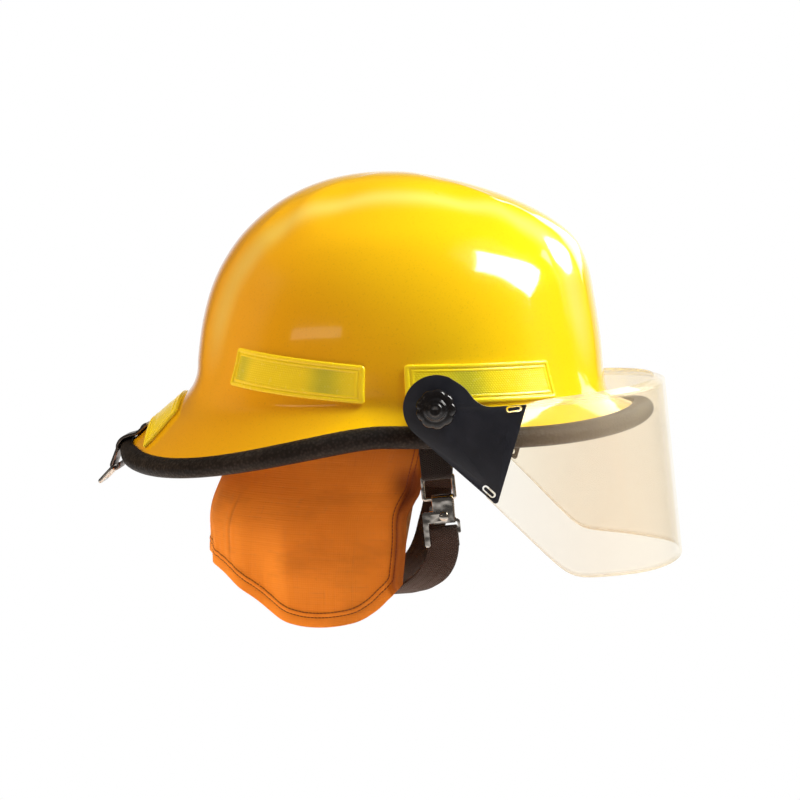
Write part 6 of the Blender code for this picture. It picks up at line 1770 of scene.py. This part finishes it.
def offsetRoute(line):  # points of the cloth at one distance from its free edge
    columns, rows = hemDistance.shape

    def crossing(near, far):  # between a grid point short of the line and its neighbour past it
        a, b = hemDistance[near], hemDistance[far]
        share = (line - a) / max(b - a, 1e-6)
        return curtainPoints[near] * (1 - share) + curtainPoints[far] * share, curtainOut[far]

    bottom = []
    for i in range(columns):
        inside = np.nonzero(hemDistance[i] >= line)[0]
        if len(inside) >= 2 and inside[-1] + 1 < rows:
            bottom.append((i, *crossing((i, inside[-1] + 1), (i, inside[-1]))))
    fronts = []
    orders = (range(columns // 2), range(columns - 1, columns // 2, -1))
    for order, (corner, spot) in zip(orders, (bottom[0][:2], bottom[-1][:2])):
        edge = []
        for j in range(8, rows - 1):
            k = int(np.argmax(hemDistance[order, j] >= line))
            i = order[k]
            if hemDistance[i, j] < line or abs(i - corner) > 12:
                continue
            point, away = crossing((order[max(k - 1, 0)], j), (i, j))
            if point[2] > spot[2]:
                edge.append((point, away))
        fronts.append(edge)
    return fronts[0] + [(point, out) for i, point, out in bottom] + fronts[1][::-1]


hemStitches = sewRows("curtainStitches", curtainRows(), curtainThread)
sewRows("sweatbandStitches", sweatRows, darkThread)
sewRows("strapStitches", strapRows, darkThread)
print("stitches sewn")

# the solids that stay take finishes of their own
keptLooks = {
    nylon: ["ratchet_rack_left", "ratchet_rack_right", "ratchet_pinion", "ratchet_inner_cover",
            "ratchet_outer_cover"],
    bracketBlack: ["pivot_spacer_right", "pivot_spacer_left"],
    washerRubber: [kind + side for side in cheeks
                   for kind in ("friction_washer_", "knob_washer_", "backing_pad_")],
    brightSteel: ["pivot_bolt_right", "pivot_bolt_left"],
}
for look, names in keptLooks.items():
    for name in names:
        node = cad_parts[name]
        node.data.materials.clear()
        node.data.materials.append(look)
print("kept solids finished")

# studio
studio = {"azimuth": 4.8, "elevation": 5.0, "distance": 2.0, "target": (0.0, 0.0, 0.013), "lens": 134.3,
          "floorZ": -0.62, "floorRadius": 0.8, "floorWhite": 0.75, "ambient": (0.24, 0.115, 0.07),
          "mirrorBehind": (0.82, 1.0), "mirrorLevel": (0.1, 0.5), "mirrorTable": (-0.1, -0.45)}
# each lamp either shows in reflections or lights the surfaces
lamps = [
    {"name": "windowCard", "at": (0.987, -0.263, 0.866), "wide": (0.588, 0.5, -0.64), "size": (0.95, 0.5),
     "watts": 25.0, "colour": (1.0, 0.985, 0.95), "seen": "glossy"},
    {"name": "keySoftbox", "at": (0.95, -0.25, 1.25), "wide": (0.0, 1.0, 0.0), "size": (0.9, 0.9),
     "watts": 36.0, "colour": (1.0, 0.985, 0.94), "seen": "diffuse"},
    {"name": "frontFill", "at": (1.45, -0.15, 0.3), "wide": (0.0, 1.0, 0.0), "size": (0.8, 0.8),
     "watts": 4.0, "colour": (1.0, 0.98, 0.93), "seen": "diffuse"},
    {"name": "backSoftbox", "at": (0.85, 1.05, 0.65), "wide": (0.78, -0.62, 0.0), "size": (1.2, 0.75),
     "watts": 9.0, "colour": (1.0, 0.99, 0.97), "seen": "glossy"},
    {"name": "farFill", "at": (0.35, 1.45, 0.55), "wide": (1.0, 0.0, 0.0), "size": (0.9, 0.7),
     "watts": 13.0, "colour": (1.0, 0.98, 0.93), "seen": "diffuse"},
    {"name": "sideStrip", "at": (-0.962, -1.232, 0.346), "wide": (0.788, -0.616, 0.0), "size": (0.8, 0.12),
     "watts": 0.36, "colour": (1.0, 0.85, 0.7), "seen": "glossy"},
    {"name": "rearFill", "at": (-1.45, 0.1, 0.5), "wide": (0.0, -1.0, 0.0), "size": (1.0, 1.0),
     "watts": 19.5, "colour": (1.0, 0.75, 0.50), "seen": "diffuse"},
    {"name": "tableBounce", "at": (-0.14, -0.42, -0.42), "wide": (1.0, 0.0, 0.0), "size": (0.6, 0.3),
     "watts": 1.3, "colour": (1.0, 0.58, 0.34), "seen": "diffuse"},
]


def makeCamera():
    data = bpy.data.cameras.new("photoCamera")
    data.lens = studio["lens"]
    data.sensor_width = 36.0
    camera = bpy.data.objects.new("photoCamera", data)
    bpy.context.scene.collection.objects.link(camera)
    a, e = math.radians(studio["azimuth"]), math.radians(studio["elevation"])
    back = Vector((math.sin(a) * math.cos(e), -math.cos(a) * math.cos(e), math.sin(e)))
    camera.location = Vector(studio["target"]) + back * studio["distance"]
    camera.rotation_euler = back.to_track_quat("Z", "Y").to_euler()
    bpy.context.scene.camera = camera


def makeWorld():  # white to the camera and through the shield, white behind and below in reflections
    world = bpy.data.worlds.new("studio")
    bpy.context.scene.world = world
    world.use_nodes = True
    tree = world.node_tree
    tree.nodes.clear()
    path = addNode(tree, "ShaderNodeLightPath").outputs
    way = axesOut(tree, addNode(tree, "ShaderNodeTexCoord").outputs["Generated"])
    behind = rangeOut(tree, way["Y"], studio["mirrorBehind"], (0.0, 1.0))
    level = rangeOut(tree, way["Z"], studio["mirrorLevel"], (1.0, 0.15))
    table = rangeOut(tree, way["Z"], studio["mirrorTable"], (0.06, 0.85))
    mirrored = mathOut(tree, "MAXIMUM", timesOut(tree, behind, level), table)
    white = (1.0, 1.0, 1.0)
    dim, room, bright = [
        addNode(tree, "ShaderNodeBackground", {"Color": (*colour, 1.0), "Strength": strength}).outputs[0]
        for colour, strength in ((studio["ambient"], 1.0), (white, mirrored), (white, 1.0))]
    seen = mathOut(tree, "MAXIMUM", path["Is Camera Ray"], path["Is Transmission Ray"])
    mixed = mixShader(tree, seen, mixShader(tree, path["Is Glossy Ray"], dim, room), bright)
    addNode(tree, "ShaderNodeOutputWorld", {"Surface": mixed})


def makeFloorLook():  # white to the camera save for a soft shadow, and open from below
    look, tree, shader, spot = newLook("paleFloor", Roughness=0.9)
    pale = rampOut(tree, noiseOut(tree, spot, 3.0), [(0.3, (0.82, 0.81, 0.80)), (0.7, (0.86, 0.85, 0.84))])
    feed(tree, shader, Base_Color=pale)
    paper = addNode(tree, "ShaderNodeEmission", {"Color": (1.0, 1.0, 1.0, 1.0), "Strength": 1.0})
    seen = addNode(tree, "ShaderNodeLightPath").outputs["Is Camera Ray"]
    light = timesOut(tree, seen, studio["floorWhite"])
    top = mixShader(tree, light, shader.outputs[0], paper.outputs[0])
    under = addNode(tree, "ShaderNodeNewGeometry").outputs["Backfacing"]
    clear = addNode(tree, "ShaderNodeBsdfTransparent").outputs[0]
    both = mixShader(tree, under, top, clear)
    tree.links.new(both, tree.nodes["Material Output"].inputs["Surface"])
    return look


def makeFloor():
    shape = bmesh.new()
    bmesh.ops.create_circle(shape, cap_ends=True, segments=96, radius=studio["floorRadius"])
    mesh = bpy.data.meshes.new("paleFloor")
    shape.to_mesh(mesh)
    shape.free()
    mesh.transform(Matrix.Translation((0.0, 0.0, studio["floorZ"])))
    mesh.materials.append(makeFloorLook())
    floor = bpy.data.objects.new("paleFloor", mesh)
    bpy.context.scene.collection.objects.link(floor)


def hangLamp(lamp):
    data = bpy.data.lights.new(lamp["name"], "AREA")
    data.shape = "RECTANGLE"
    data.size, data.size_y = lamp["size"]
    data.energy = lamp["watts"]
    data.color = lamp["colour"]
    item = bpy.data.objects.new(lamp["name"], data)
    item.location = lamp["at"]
    away = Vector(lamp["at"]).normalized()
    wide = Vector(lamp["wide"])
    wide = (wide - away * wide.dot(away)).normalized()
    item.rotation_euler = Matrix((wide, away.cross(wide), away)).transposed().to_euler()
    item.visible_glossy = lamp["seen"] == "glossy"
    item.visible_diffuse = lamp["seen"] == "diffuse"
    bpy.context.scene.collection.objects.link(item)


makeCamera()
makeWorld()
makeFloor()
for lamp in lamps:
    hangLamp(lamp)
bpy.context.scene.view_settings.view_transform = "Standard"
print("studio set")
